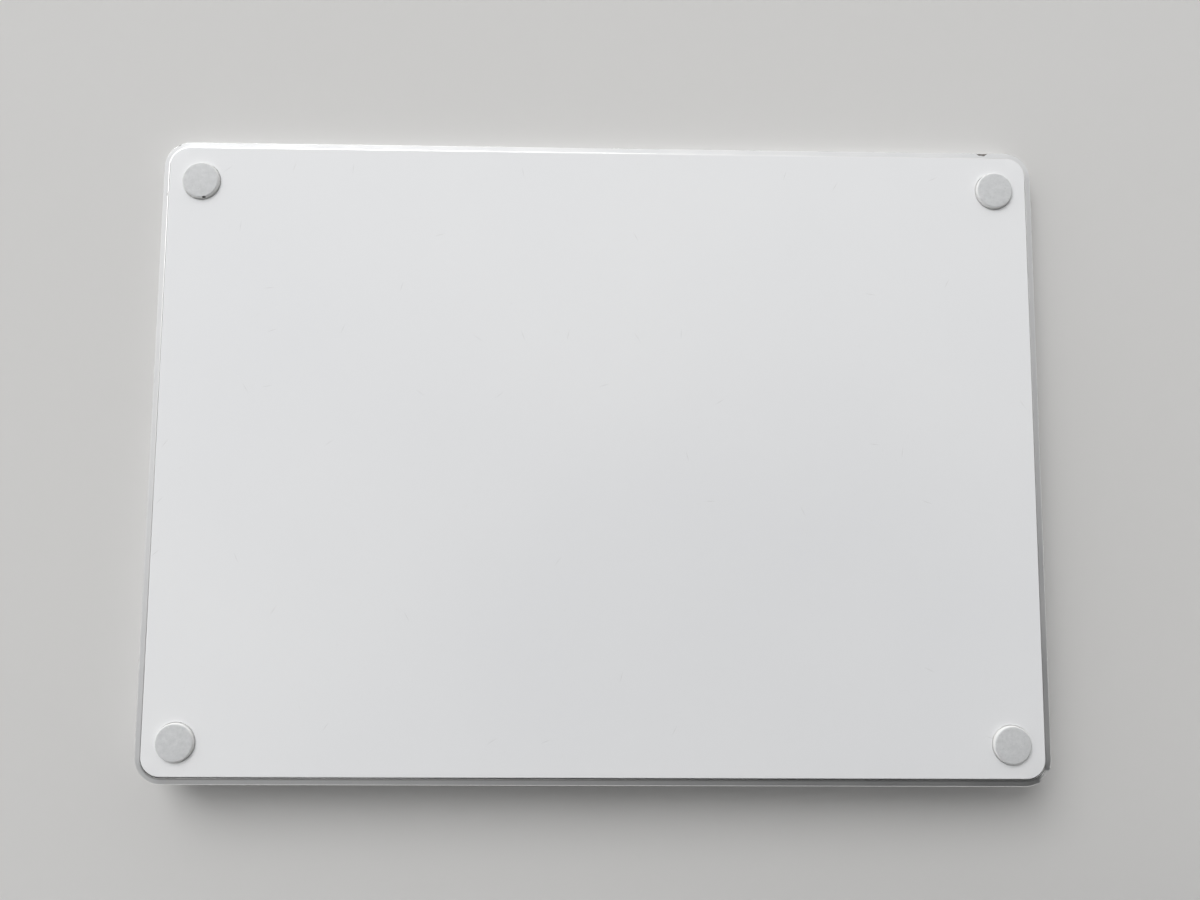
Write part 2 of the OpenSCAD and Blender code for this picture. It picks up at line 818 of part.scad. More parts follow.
// Safety board on the cell's sealed edge
module battery_board() {
    color("forestgreen")
        translate([battery_lead_x - pcb_size[0] / 2, cell_rear + (terrace_d - pcb_size[1]) / 2, terrace_top])
            cube(pcb_size);
}

// Flat lead from the safety board up and over to the main board's connector
module battery_lead() {
    lead_foot = terrace_top + pcb_size[2];
    lead_y = cell_rear + terrace_d / 2;
    color("firebrick")
        translate([battery_lead_x - battery_lead_w / 2, lead_y - flex_t / 2, 0]) {
            translate([0, 0, lead_foot]) cube([battery_lead_w, flex_t, connector_top + flex_t - lead_foot]);
            translate([0, 0, connector_top]) cube([battery_lead_w, battery_plug_y - lead_y, flex_t]);
        }
}

module main_board() {
    color("darkgreen")
        difference() {
            translate([0, board_mid, board_bot]) rounded_plate(board_w, board_d, plate_r, board_t);
            for (side = [-1, 1]) {
                translate([side * board_screw_x, board_mid, board_top]) screw_hole(2 * board_t);
                translate([side * strap_x, strap_y, board_top]) screw_hole(2 * board_t);
            }
        }
}

// Chips along the rear edge of the main board
module board_chips() {
    color("black")
        for (chip = [[supply_x, supply_chip], [processor_x, processor_chip], [charger_x, charger_chip]]) {
            size = chip[1];
            translate([chip[0] - size[0] / 2, board_rear - chip_edge - size[1], board_top]) cube(size);
        }
}

// Plug-in connectors for the battery and for the sensor board
module board_connectors() {
    color("white") {
        translate([battery_lead_x - battery_plug[0] / 2, battery_plug_y - battery_plug[1] / 2, board_top])
            cube([battery_plug[0], battery_plug[1], connector_h]);
        translate([sensor_lead_x - sensor_plug[0] / 2, sensor_lead_y - sensor_plug[1] / 2, board_top])
            cube([sensor_plug[0], sensor_plug[1], connector_h]);
    }
}

// Sheet-metal can over the power circuit
module shield_can() {
    color("gainsboro")
        translate([can_x, board_mid, board_top])
            difference() {
                rounded_plate(can_size[0], can_size[1], can_r, can_size[2]);
                translate([0, 0, -can_wall])
                    rounded_plate(can_size[0] - 2 * can_wall, can_size[1] - 2 * can_wall, can_r - can_wall,
                        can_size[2]);
            }
}

module radio_module() {
    color("silver")
        translate([radio_x, board_mid, board_top])
            rounded_plate(radio_size[0], radio_size[1], can_r, radio_size[2]);
}

// Bent strip that stands on two legs
module antenna() {
    color("gold")
        translate([antenna_x, antenna_y - antenna_size[1] / 2, board_top]) {
            translate([0, 0, antenna_h - antenna_size[2]]) cube(antenna_size);
            for (leg = antenna_legs) translate([leg, 0, 0]) cube([antenna_leg[0], antenna_leg[1], antenna_h]);
        }
}

module board_screws() {
    color("slategray")
        for (side = [-1, 1])
            translate([side * board_screw_x, board_mid, board_top]) screw(board_t + thread_l);
}

// Flexible lead that folds from the sensor board's connector to the main board's
module sensor_flex() {
    leg_end = sensor_lead_y + sensor_lead_l;
    fold_y = sensor_lead_y - sensor_plug[1] / 2;
    color("orange")
        translate([sensor_lead_x - sensor_lead_w / 2, 0, fold_bot + fold_r])
            rotate([90, 0, 90])
                linear_extrude(sensor_lead_w) {
                    difference() {
                        translate([fold_y, 0]) circle(fold_r);
                        translate([fold_y, 0]) circle(fold_r - flex_t);
                        translate([fold_y, -reach]) square(2 * reach);
                    }
                    for (level = [-fold_r, fold_r - flex_t])
                        translate([fold_y, level]) square([leg_end - fold_y, flex_t]);
                }
}

// Metal shell of the charging port
module port_shell() {
    color("silver")
        through_rear(0, port_z, port_back, port_mouth)
            difference() {
                oblong(port_w, port_h);
                oblong(port_open_w, port_open_h);
            }
}

// Moulded block that closes the shell's back
module port_insulator() {
    color("black")
        through_rear(0, port_z, port_back, port_back + port_base_l)
            oblong(port_open_w - strap_gap, port_open_h - strap_gap);
}

// Contact tongue that stands out of the block
module port_tongue() {
    color("dimgray")
        through_rear(0, port_z, port_back + port_base_l, port_mouth - port_tongue_recess)
            square([port_tongue_w, port_tongue_t], center = true);
}

// Strap that holds the port down on the board, with an ear on each side
module port_bracket() {
    ear_w = port_w + 2 * (strap_gap + strap_t + strap_ear);
    color("lightslategray")
        difference() {
            through_rear(0, port_z, strap_y - strap_l / 2, strap_y + strap_l / 2)
                difference() {
                    union() {
                        oblong(port_w + 2 * (strap_gap + strap_t), port_h + 2 * (strap_gap + strap_t));
                        translate([-ear_w / 2, -port_h / 2]) square([ear_w, strap_t]);
                    }
                    oblong(port_w + 2 * strap_gap, port_h + 2 * strap_gap);
                    translate([-ear_w, -port_h / 2 - 2 * port_h]) square([2 * ear_w, 2 * port_h]);
                }
            for (side = [-1, 1])
                translate([side * strap_x, strap_y, board_top + 2 * strap_t]) screw_hole(3 * strap_t);
        }
}

module port_screws() {
    color("slategray")
        for (side = [-1, 1])
            translate([side * strap_x, strap_y, board_top + strap_t]) screw(strap_t + board_t + thread_l);
}

// Knob in the rear wall's window, with a grip rib across its face
module switch_knob() {
    color("white") {
        through_rear(knob_x, switch_z, shutter_y, pad_d / 2 - knob_recess) oblong(knob_l, knob_h);
        through_rear(knob_x, switch_z, shutter_y, pad_d / 2 - knob_rib_recess)
            square(knob_rib, center = true);
    }
}

// Strip that slides behind the window and drives the switch through its stem
module switch_shutter() {
    color("limegreen") {
        through_rear(knob_x, switch_z, shutter_y - shutter_t, shutter_y)
            rounded_rect(shutter_l, shutter_h, shutter_lap);
        translate([knob_x - stem[0] / 2, shutter_y - shutter_t - stem[1], switch_z - stem[2] / 2])
            cube([stem[0], stem[1] + shutter_t / 2, stem[2]]);
    }
}

// Slide switch with a slot for the stem
module switch_body() {
    slot_l = stem[0] + knob_travel + 2 * stem_gap;
    slot_h = stem[2] + 2 * stem_gap;
    slot_d = stem[1] - case_gap + stem_gap;
    color("darkgray")
        difference() {
            translate([switch_x - case_size[0] / 2, case_front, switch_z - case_size[2] / 2]) cube(case_size);
            translate([switch_x - slot_l / 2, case_rear - slot_d, switch_z - slot_h / 2])
                cube([slot_l, 2 * slot_d, slot_h]);
        }
}

// Plate on two posts that carries the switch, with a lip in front of it
module switch_bracket() {
    color("lightslategray")
        difference() {
            union() {
                translate([switch_x - bracket_l / 2, case_front - bracket_t, bracket_bot])
                    cube([bracket_l, bracket_d, bracket_t]);
                translate([switch_x - case_size[0] / 2, case_front - bracket_t, bracket_bot])
                    cube([case_size[0], bracket_t, case_size[2] / 2 + bracket_t]);
            }
            for (site = bracket_screw_sites)
                translate([site[0], site[1], bracket_top]) screw_hole(2 * bracket_t);
        }
}

// Flexible strip from the switch to the main board
module switch_flex() {
    flex_from = switch_x + case_size[0] / 2;
    color("orange")
        translate([flex_from, case_rear - strip_w / 2, board_top])
            cube([-board_w / 2 + switch_flex_lap - flex_from, strip_w, flex_t]);
}

module switch_screws() {
    color("slategray")
        for (site = bracket_screw_sites)
            translate([site[0], site[1], bracket_top]) screw(bracket_t + thread_l);
}

housing();
bottom_cover();
cover_adhesive();
foot_front_left();
foot_front_right();
foot_rear_left();
foot_rear_right();
touch_glass();
glass_bond();
sensor_board();
touch_controller();
sensor_connector();
stiffener_plate();
flexure_front_left();
flexure_front_right();
flexure_rear_left();
flexure_rear_right();
gel_pads();
strain_gauges();
gauge_flex();
flexure_screws();
haptic_bracket();
haptic_core();
haptic_coils();
haptic_armature();
haptic_screws();
battery_cell();
battery_adhesive();
battery_board();
battery_lead();
main_board();
board_chips();
board_connectors();
shield_can();
radio_module();
antenna();
board_screws();
sensor_flex();
port_shell();
port_insulator();
port_tongue();
port_bracket();
port_screws();
switch_knob();
switch_shutter();
switch_body();
switch_bracket();
switch_flex();
switch_screws();
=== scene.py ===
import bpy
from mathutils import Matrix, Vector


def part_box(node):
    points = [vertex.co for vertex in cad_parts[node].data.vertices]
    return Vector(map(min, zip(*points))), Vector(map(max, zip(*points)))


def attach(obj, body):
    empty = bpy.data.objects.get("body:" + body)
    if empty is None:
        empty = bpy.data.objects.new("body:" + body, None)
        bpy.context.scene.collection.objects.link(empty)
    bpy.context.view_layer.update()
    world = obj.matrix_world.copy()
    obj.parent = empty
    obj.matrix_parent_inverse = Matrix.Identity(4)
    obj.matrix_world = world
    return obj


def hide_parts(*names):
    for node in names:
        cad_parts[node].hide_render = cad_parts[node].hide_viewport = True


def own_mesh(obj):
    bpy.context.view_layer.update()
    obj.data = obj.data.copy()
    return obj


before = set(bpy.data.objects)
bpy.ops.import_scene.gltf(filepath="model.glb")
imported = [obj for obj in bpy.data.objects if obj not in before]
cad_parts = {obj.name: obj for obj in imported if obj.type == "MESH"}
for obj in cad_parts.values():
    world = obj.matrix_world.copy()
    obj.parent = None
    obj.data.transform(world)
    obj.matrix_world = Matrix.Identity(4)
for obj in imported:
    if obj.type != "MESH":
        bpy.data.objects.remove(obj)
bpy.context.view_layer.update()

import math

import bmesh
import bpy
from mathutils import Matrix, Vector

# Camera. The picture shows the underside, so the camera stands below the pad and looks up, with the front
# edge at the top of the image. Its place, turn and lens come from the perspective of the rim's four sides.
camera = bpy.data.objects.new("camera", bpy.data.cameras.new("camera"))
camera.data.sensor_width = 36.0
camera.data.lens = 28.734
camera.data.clip_start = 0.01
camera.location = (-0.0027605, 0.0150541, -0.1698133)
camera.rotation_euler = [math.radians(turn) for turn in (-174.57522, 1.04421, -0.38148)]
bpy.context.scene.collection.objects.link(camera)
bpy.context.scene.camera = camera
bpy.context.scene.view_settings.view_transform = "Standard"


# Light. A soft window stands to the front left, above the pad and again below it, so that the top and the
# underside are lit alike. The room is darker, and the camera, metal and glass see it as a pale backdrop.
def window_light(name, place, width, watts):
    """A square soft lamp that faces the middle of the pad."""
    lamp = bpy.data.objects.new(name, bpy.data.lights.new(name, "AREA"))
    lamp.data.size = width
    lamp.data.energy = watts
    lamp.location = place
    lamp.rotation_euler = Vector(place).to_track_quat("Z", "Y").to_euler()
    bpy.context.scene.collection.objects.link(lamp)


window_light("window_below", (-1.10, -1.90, -2.45), 2.2, 73.0)
window_light("ceiling_below", (0.08, -0.15, -1.80), 1.2, 4.2)
window_light("window_above", (-1.10, -1.90, 2.45), 2.2, 62.0)
window_light("ceiling_above", (0.08, -0.15, 1.80), 1.2, 4.2)


def node(owner, kind, inputs=None, **settings):
    """Adds a shader node; an input given as another node's socket is linked, and any other is set."""
    made = owner.node_tree.nodes.new("ShaderNode" + kind)
    for name, value in settings.items():
        setattr(made, name, value)
    for name, value in (inputs or {}).items():
        if isinstance(value, bpy.types.NodeSocket):
            owner.node_tree.links.new(value, made.inputs[name])
        else:
            made.inputs[name].default_value = value
    return made


room = bpy.data.worlds.new("room")
room.use_nodes = True
room.node_tree.nodes.clear()
bpy.context.scene.world = room
backdrop = (0.80, 0.80, 0.79, 1.0)
room_grey = (0.42, 0.42, 0.42, 1.0)
room_seen = node(room, "Background", {"Color": backdrop, "Strength": 1.0})
room_light = node(room, "Background", {"Color": room_grey, "Strength": 1.0})
rays = node(room, "LightPath").outputs
room_eye = node(room, "Math", {0: rays["Is Camera Ray"], 1: rays["Is Transmission Ray"]}, operation="MAXIMUM")
room_eye = node(room, "Math", {0: room_eye.outputs[0], 1: rays["Is Glossy Ray"]}, operation="MAXIMUM")
room_mix = node(room, "MixShader", {0: room_eye.outputs[0], 1: room_light.outputs[0],
                                    2: room_seen.outputs[0]})
node(room, "OutputWorld", {"Surface": room_mix.outputs[0]})


# Tub. One piece of aluminium, milled from plate, bead-blasted and anodised: a sloping rim round the
# underside, walls cut off along the tilted touch surface, a thin floor, and bosses and ribs inside.
mm = 0.001
pad_w, pad_d, corner_r = 160.0, 114.9, 4.8
front_h, rear_h = 4.9, 10.9
slope = (rear_h - front_h) / pad_d
upright = math.sqrt(1 + slope ** 2)
wall_t, wall_depth = 2.0, 1.35
lip_inset, lip_z = 1.25, 1.0
chamfer_w, chamfer_z = 1.15, 1.55
floor_bot, floor_top = 1.6, 2.3
rear_in = pad_d / 2 - wall_t


def deck(depth):
    """Height, at the middle of the pad, of a plane that lies a given depth under the touch surface."""
    return (front_h + rear_h) / 2 - depth * upright


def softened(corners, steps=4):
    """A profile of (inset, height, lean) through corners that are each rounded by their own radius."""
    profile = []
    for i, (inset, z, lean, radius) in enumerate(corners):
        here = Vector((inset, z))
        if radius == 0:
            profile.append((inset, z, lean))
            continue
        back = (Vector(corners[i - 1][:2]) - here).normalized()
        on = (Vector(corners[(i + 1) % len(corners)][:2]) - here).normalized()
        half = back.angle(on) / 2
        centre = here + (back + on).normalized() * radius / math.sin(half)
        reach = radius / math.tan(half)
        first, last = here + back * reach - centre, here + on * reach - centre
        for k in range(steps + 1):
            spoke = radius * first.slerp(last, k / steps)
            profile.append((centre.x + spoke.x, centre.y + spoke.y, lean))
    return profile


def pad_loop(inset, z, lean, corner_steps=36, side_steps=20):
    """One loop round the pad's plan, set in from its edge; lean 1 follows the slope of the touch surface."""
    radius = corner_r - inset
    corners = ((1, 1), (-1, 1), (-1, -1), (1, -1))

    def edge_point(corner, degrees):
        turn = math.radians(degrees)
        return Vector((corner[0] * (pad_w / 2 - corner_r) + radius * math.cos(turn),
                       corner[1] * (pad_d / 2 - corner_r) + radius * math.sin(turn), z))

    loop = []
    for i, corner in enumerate(corners):
        loop.extend(edge_point(corner, 90 * i + 90 * k / corner_steps) for k in range(corner_steps + 1))
        left = loop[-1].copy()
        goal = edge_point(corners[(i + 1) % 4], 90 * (i + 1))
        loop.extend(left.lerp(goal, k / side_steps) for k in range(1, side_steps))
    for point in loop:
        point.z += lean * slope * point.y
    return loop


def skin(name, loops, material=None, joined_ends=False):
    """A closed mesh over loops of equal count, in millimetres, with its ends capped or joined."""
    bm = bmesh.new()
    rows = [[bm.verts.new(Vector(point) * mm) for point in loop] for loop in loops]
    pairs = list(zip(rows, rows[1:]))
    if joined_ends:
        pairs.append((rows[-1], rows[0]))
    else:
        bm.faces.new(rows[0])
        bm.faces.new(rows[-1])
    for low, high in pairs:
        for i in range(len(low)):
            bm.faces.new((low[i - 1], low[i], high[i], high[i - 1]))
    bmesh.ops.recalc_face_normals(bm, faces=bm.faces)
    mesh = bpy.data.meshes.new(name)
    bm.to_mesh(mesh)
    bm.free()
    piece = bpy.data.objects.new(name, mesh)
    if material:
        mesh.materials.append(material)
    bpy.context.scene.collection.objects.link(piece)
    return piece


def carve(piece, tools, operation="DIFFERENCE"):
    """Cuts tools out of a piece, or joins them to it, and takes the tools away."""
    for tool in tools:
        cut = piece.modifiers.new("cut", "BOOLEAN")
        cut.object = tool
        cut.operation = operation
        cut.solver = "EXACT"
        cut.material_mode = "TRANSFER"
        if not tool.data.materials:
            tool.data.materials.append(piece.data.materials[0])
    result = bpy.data.meshes.new_from_object(piece.evaluated_get(bpy.context.evaluated_depsgraph_get()))
    piece.modifiers.clear()
    piece.data = result
    for tool in tools:
        bpy.data.objects.remove(tool)


def even_shading(piece, crease=40):
    """Smooth faces that keep their flats flat, with a crease where two faces meet at a sharp angle."""
    bm = bmesh.new()
    bm.from_mesh(piece.data)
    for face in bm.faces:
        face.smooth = True
    for edge in bm.edges:
        edge.smooth = len(edge.link_faces) == 2 and edge.calc_face_angle() < math.radians(crease)
    bm.to_mesh(piece.data)
    bm.free()
    piece.modifiers.new("flats", "WEIGHTED_NORMAL").keep_sharp = True


def finish_of(name, roughness, metallic=0.0, colour=(0.8, 0.8, 0.8)):
    """A material with its main shader and its coordinates, which are the pad's own and ride with it."""
    made = bpy.data.materials.new(name)
    made.use_nodes = True
    shader = made.node_tree.nodes["Principled BSDF"]
    shader.inputs["Base Color"].default_value = (*colour, 1.0)
    shader.inputs["Roughness"].default_value = roughness
    shader.inputs["Metallic"].default_value = metallic
    return made, shader, node(made, "TexCoord").outputs["Object"]


def feed(made, shader, socket, value):
    """Links a value to an input of a material's main shader."""
    made.node_tree.links.new(value, shader.inputs[socket])


def grain(made, place, per_mm, detail=3.0, rough=0.55, stretch=None):
    """Noise of a given count of grains to the millimetre, drawn out along an axis where stretch says so."""
    if stretch:
        place = node(made, "VectorMath", {0: place, 1: stretch}, operation="MULTIPLY").outputs[0]
    return node(made, "TexNoise", {"Vector": place, "Scale": per_mm / mm, "Detail": detail,
                                   "Roughness": rough}).outputs[0]


def spread(made, value, low, high, from_low=0.3, from_high=0.7):
    """A value stretched from one range to another, and held at its ends."""
    return node(made, "MapRange", {"Value": value, "From Min": from_low, "From Max": from_high,
                                   "To Min": low, "To Max": high}).outputs["Result"]


def blend(made, share, first, second):
    """A colour between two others."""
    mix = node(made, "Mix", {0: share}, data_type="RGBA")
    for socket, value in ((6, first), (7, second)):
        if isinstance(value, bpy.types.NodeSocket):
            made.node_tree.links.new(value, mix.inputs[socket])
        else:
            mix.inputs[socket].default_value = (*value, 1.0)
    return mix.outputs[2]


def relief(made, shader, height, depth_mm, strength=1.0, under=None):
    """Bump from a height of 0 to 1, a given depth in millimetres."""
    inputs = {"Height": height, "Distance": depth_mm * mm, "Strength": strength}
    if under:
        inputs["Normal"] = under
    bump = node(made, "Bump", inputs).outputs[0]
    feed(made, shader, "Normal", bump)
    return bump


def near(made, value, middle, width):
    """1 where a value is at its middle, and 0 once it is a given width away."""
    off = node(made, "Math", {0: value, 1: middle}, operation="SUBTRACT").outputs[0]
    size = node(made, "Math", {0: off}, operation="ABSOLUTE").outputs[0]
    return spread(made, size, 1.0, 0.0, 0.0, width)


def times(made, first, second):
    """The product of two values."""
    return node(made, "Math", {0: first, 1: second}, operation="MULTIPLY").outputs[0]


knocked_corner = Vector((pad_w / 2 - corner_r, pad_d / 2 - corner_r))
dent_turn, dent_half, dent_depth, dent_lift, dent_ridge = math.radians(40), 1.45, 0.32, 0.28, 0.15
dent_inner_r, dent_top, dent_edge_w, dent_fade = 3.0, 3.1, 1.05, 1.4
burr_w, burr_out, burr_lift = 0.25, 0.09, 0.12
ridge_inset, ridge_w, ridge_top = 0.62, 0.4, 1.75
dent_r, dent_z = corner_r - 0.6, 1.15
dent_spot = [(knocked_corner.x + dent_r * math.cos(dent_turn)) * mm,
             (knocked_corner.y + dent_r * math.sin(dent_turn)) * mm, dent_z * mm]

anodised, shader, place = finish_of("anodised_aluminium", 0.32, 1.0)
blast = grain(anodised, place, 9.0, 2.0)
cloud = grain(anodised, place, 0.09, 4.0)
axes = node(anodised, "SeparateXYZ", {0: place}).outputs
along, height = axes[1], axes[2]
# The outer edge of the chamfer is lighter and smoother: partly edge wear, partly a painted highlight.
edge_wear_and_highlight = times(anodised, near(anodised, height, chamfer_z * mm, 0.16 * mm),
               spread(anodised, grain(anodised, place, 0.5), 0.35, 1.0))
tone = blend(anodised, spread(anodised, cloud, 0.0, 1.0), (0.70, 0.705, 0.715), (0.755, 0.755, 0.755))
tone = blend(anodised, spread(anodised, blast, 0.0, 0.35), tone, (0.63, 0.635, 0.64))
tone = blend(anodised, edge_wear_and_highlight, tone, (0.84, 0.84, 0.84))
# The lip is painted lighter everywhere but along the rear: a painted highlight.
lip_highlight_end, seam_shade_start, seam_shade_end = 35 * mm, 53 * mm, 55.5 * mm
lip_painted_highlight = times(anodised, near(anodised, height, lip_z * mm, 0.07 * mm),
               spread(anodised, along, 1.0, 0.0, lip_highlight_end, seam_shade_start))
tone = blend(anodised, lip_painted_highlight, tone, (0.78, 0.78, 0.78))
# Along the rear the lip is painted dark: a painted shade in the seam beside the cover.
seam_painted_shade = times(anodised, near(anodised, height, lip_z * mm, 0.16 * mm),
              spread(anodised, along, 0.0, 0.75, seam_shade_start, seam_shade_end))
tone = blend(anodised, seam_painted_shade, tone, (0.22, 0.215, 0.21))
from_dent = node(anodised, "VectorMath", {0: place, 1: dent_spot}, operation="DISTANCE").outputs["Value"]
bare = times(anodised, spread(anodised, from_dent, 1.0, 0.0, 0.7 * mm, 1.5 * mm),
             spread(anodised, grain(anodised, place, 3.0), 0.2, 1.0))
tone = blend(anodised, bare, tone, (0.92, 0.92, 0.915))
feed(anodised, shader, "Base Color", tone)
smoothed = spread(anodised, edge_wear_and_highlight, 0.0, 0.1, 0.0, 1.0)
satin = node(anodised, "Math", {0: spread(anodised, cloud, 0.29, 0.37), 1: smoothed},
             operation="SUBTRACT").outputs[0]
scraped = node(anodised, "Math", {0: satin, 1: times(anodised, bare, 0.22)}).outputs[0]
feed(anodised, shader, "Roughness", scraped)
relief(anodised, shader, blast, 0.012, 0.5)

# The insides of the small knocks are coloured dark grey-brown, darker than the metal round them.
knock_inside_dark, shader, place = finish_of("knock_inside_dark_metal", 0.55, 0.7)
scrape = grain(knock_inside_dark, place, 5.0, 4.0)
tone = blend(knock_inside_dark, spread(knock_inside_dark, scrape, 0.0, 1.0), (0.10, 0.09, 0.085), (0.30, 0.285, 0.27))
feed(knock_inside_dark, shader, "Base Color", tone)
relief(knock_inside_dark, shader, scrape, 0.06)

cap_inset = 3.0
tub_profile = softened([
    (cap_inset, floor_bot, 0, 0),
    (lip_inset, floor_bot, 0, 0.05),
    (lip_inset, lip_z, 0, 0.04),
    (chamfer_w, lip_z, 0, 0.12),
    (0.0, chamfer_z, 0, 0.24),
    (0.0, deck(wall_depth), 1, 0.1),
    (wall_t, deck(wall_depth), 1, 0.1),
    (wall_t, floor_top, 0, 0.12),
    (cap_inset, floor_top, 0, 0),
])
long_slope, slope_steps, wall_steps = 0.5, 11, (1.9, 2.2, 2.6, 3.0)


def with_steps(profile, low, high):
    """A profile with extra loops on its long fixed slope and on the foot of the wall, for the dent."""
    out = []
    for here, ahead in zip(profile, profile[1:]):
        out.append(here)
        level = here[2] == ahead[2] == 0
        if level and low <= here[1] < ahead[1] <= high and here[0] - ahead[0] > long_slope:
            for k in range(1, slope_steps):
                share = k / slope_steps
                out.append(tuple(a + (b - a) * share for a, b in zip(here, ahead)))
        if here[2] == 0 and ahead[2] == 1:
            out.extend((0.0, z, 0) for z in wall_steps)
    return out + [profile[-1]]


def dented(point):
    """The rear right corner took a knock: its edge is pushed in and up to a flat, with a burr at each end."""
    arm = point.xy - knocked_corner
    if arm.x < 0 or arm.y < 0 or arm.length < dent_inner_r or point.z > dent_top:
        return point
    along = (math.atan2(arm.y, arm.x) - dent_turn) * corner_r
    hollow = max(0.0, 1 - (along / dent_half) ** 2)
    burr = math.exp(-((abs(along) - 1.1 * dent_half) / burr_w) ** 2)
    inset = corner_r - arm.length
    edge = max(0.0, 1 - inset / dent_edge_w) * max(0.0, min(1.0, 1 - (point.z - chamfer_z) / dent_fade))
    ridge = hollow * max(0.0, 1 - abs(inset - ridge_inset) / ridge_w) * (1 + 0.25 * math.sin(7 * along))
    uneven = 1 + 0.2 * math.sin(9 * along + 4 * point.z)
    push = edge * (dent_depth * hollow * uneven - burr_out * burr)
    lift = 0.0
    if point.z < ridge_top:
        lift = edge * (dent_lift * hollow + burr_lift * burr) + dent_ridge * ridge
    moved = point.xy - push * arm.normalized()
    return Vector((moved.x, moved.y, point.z - lift))


tub_loops = [pad_loop(*step) for step in with_steps(tub_profile, lip_z, chamfer_z + 0.01)]
tub = skin("tub", [[dented(point) for point in loop] for loop in tub_loops], anodised)


def oblong_loop(w, h, x, y, z, steps=12):
    """One loop of a slot with round ends, upright in the rear wall."""
    loop = []
    for side, start in ((1, -90), (-1, 90)):
        for k in range(steps + 1):
            turn = math.radians(start + 180 * k / steps)
            sideways = side * (w - h) / 2 + h / 2 * math.cos(turn)
            loop.append(Vector((x + sideways, y, z + h / 2 * math.sin(turn))))
    return loop


def window_tool(name, w, h, x, z):
    """Cutter for an opening in the rear wall, with a softened mouth."""
    mouth, past = pad_d / 2, 1.0
    stops = [(rear_in - past, 0.0), (mouth - 0.22, 0.0), (mouth - 0.10, 0.03), (mouth - 0.03, 0.10),
             (mouth, 0.2), (mouth + past, 0.2)]
    return skin(name, [oblong_loop(w + 2 * more, h + 2 * more, x, y, z) for y, more in stops])


def disc_loop(radius, middle, lift, tilt=None, steps=32):
    """One level circle round a middle, or one in the plane of a tilt."""
    loop = []
    for k in range(steps):
        turn = 2 * math.pi * k / steps
        point = Vector((radius * math.cos(turn), radius * math.sin(turn), lift))
        loop.append(Vector(middle) + (tilt @ point if tilt else point))
    return loop


def block_loop(w, d, r, x, y, z, steps=6):
    """One level loop of a rounded rectangle."""
    loop = []
    for side, end, start in ((1, 1, 0), (-1, 1, 90), (-1, -1, 180), (1, -1, 270)):
        for k in range(steps + 1):
            turn = math.radians(start + 90 * k / steps)
            loop.append(Vector((x + side * (w / 2 - r) + r * math.cos(turn),
                                y + end * (d / 2 - r) + r * math.sin(turn), z)))
    return loop


def screw_middles(name):
    """The middle of each screw in a node, in millimetres, from the solids of the model."""
    bm = bmesh.new()
    bm.from_mesh(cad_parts[name].data)
    bmesh.ops.remove_doubles(bm, verts=bm.verts, dist=1e-6)
    left, middles = set(bm.verts), []
    while left:
        island, edge = set(), [left.pop()]
        while edge:
            vert = edge.pop()
            island.add(vert)
            for link in vert.link_edges:
                other = link.other_vert(vert)
                if other in left:
                    left.remove(other)
                    edge.append(other)
        low = Vector([min(v.co[i] for v in island) for i in range(3)])
        high = Vector([max(v.co[i] for v in island) for i in range(3)])
        middles.append((low + high) / 2 / mm)
    bm.free()
    return sorted(middles, key=lambda m: (round(m.x, 2), round(m.y, 2)))


boss_r, boss_edge, hole_r, hole_l, hole_over, sunk = 2.1, 0.15, 0.7, 0.7, 0.4, 0.35
square_to_deck = Matrix.Rotation(math.atan(slope), 3, "X")
boss_depth, board_bot, bracket_bot = 3.1, 3.32, 3.4
bosses, holes = [], []
for name, top in (("flexure_screws", None), ("board_screws", board_bot), ("port_screws", board_bot),
                  ("switch_screws", bracket_bot), ("haptic_screws", floor_top)):
    for spot in screw_middles(name):
        if top is None:
            seat = deck(boss_depth) + slope * spot.y
            turn = square_to_deck
        else:
            seat, turn = top, None
        base = (spot.x, spot.y, seat)
        foot_of_boss = floor_bot + sunk - seat
        if seat > floor_top:
            bosses.append(skin("boss", [disc_loop(boss_r, base, foot_of_boss, turn),
                                        disc_loop(boss_r, base, -boss_edge, turn),
                                        disc_loop(boss_r - boss_edge, base, 0.0, turn)]))
        holes.append(skin("hole", [disc_loop(hole_r, base, lift, turn) for lift in (-hole_l, hole_over)]))

bay_w, bay_front, bay_rear, bay_r = 90.6, 0.35, 42.15, 2.0
rib_t, rib_h, rib_edge = 1.0, 1.4, 0.1
bay_y = (bay_front + bay_rear) / 2
bay_d = bay_rear - bay_front
rib_foot, rib_top = floor_bot + sunk, floor_top + rib_h
rib_frame = [(0.0, rib_foot), (0.0, rib_top - rib_edge), (rib_edge, rib_top),
             (rib_t - rib_edge, rib_top), (rib_t, rib_top - rib_edge), (rib_t, rib_foot)]
bosses.append(skin("bay", [block_loop(bay_w + 2 * more, bay_d + 2 * more, bay_r + more, 0.0, bay_y, z)
                           for more, z in rib_frame], joined_ends=True))
slot_w, slot_d, slot_r, slot_x, slot_y = 16.0, 3.4, 1.0, 39.0, 45.25
slot_ends = (floor_bot - 0.5, floor_top + 0.05)
antenna_slot = skin("slot", [block_loop(slot_w, slot_d, slot_r, slot_x, slot_y, z) for z in slot_ends])
chips = [((71.1, -57.56, 1.42), (1.15, 0.86, 0.55)), ((-77.34, -56.94, 1.5), (0.34, 0.3, 0.3)),
         ((-79.0, -47.36, 1.02), (0.1, 0.36, 0.1))]


def nick(middle, reach, finish):
    """Cutter for a small knock: an uneven egg of a given reach along each axis."""
    rows = []
    for k in range(1, 12):
        turn = math.pi * k / 12 - math.pi / 2
        row = disc_loop(math.cos(turn), (0.0, 0.0, math.sin(turn)), 0.0, steps=20)
        rows.append([Vector(middle) + Vector([p[i] * reach[i] * (1 + 0.12 * math.sin(9 * p.x + 7 * p.y))
                                              for i in range(3)]) for p in row])
    made = skin("nick", rows, finish)
    bm = bmesh.new()
    bm.from_mesh(made.data)
    bmesh.ops.triangulate(bm, faces=bm.faces)
    bm.to_mesh(made.data)
    bm.free()
    return made


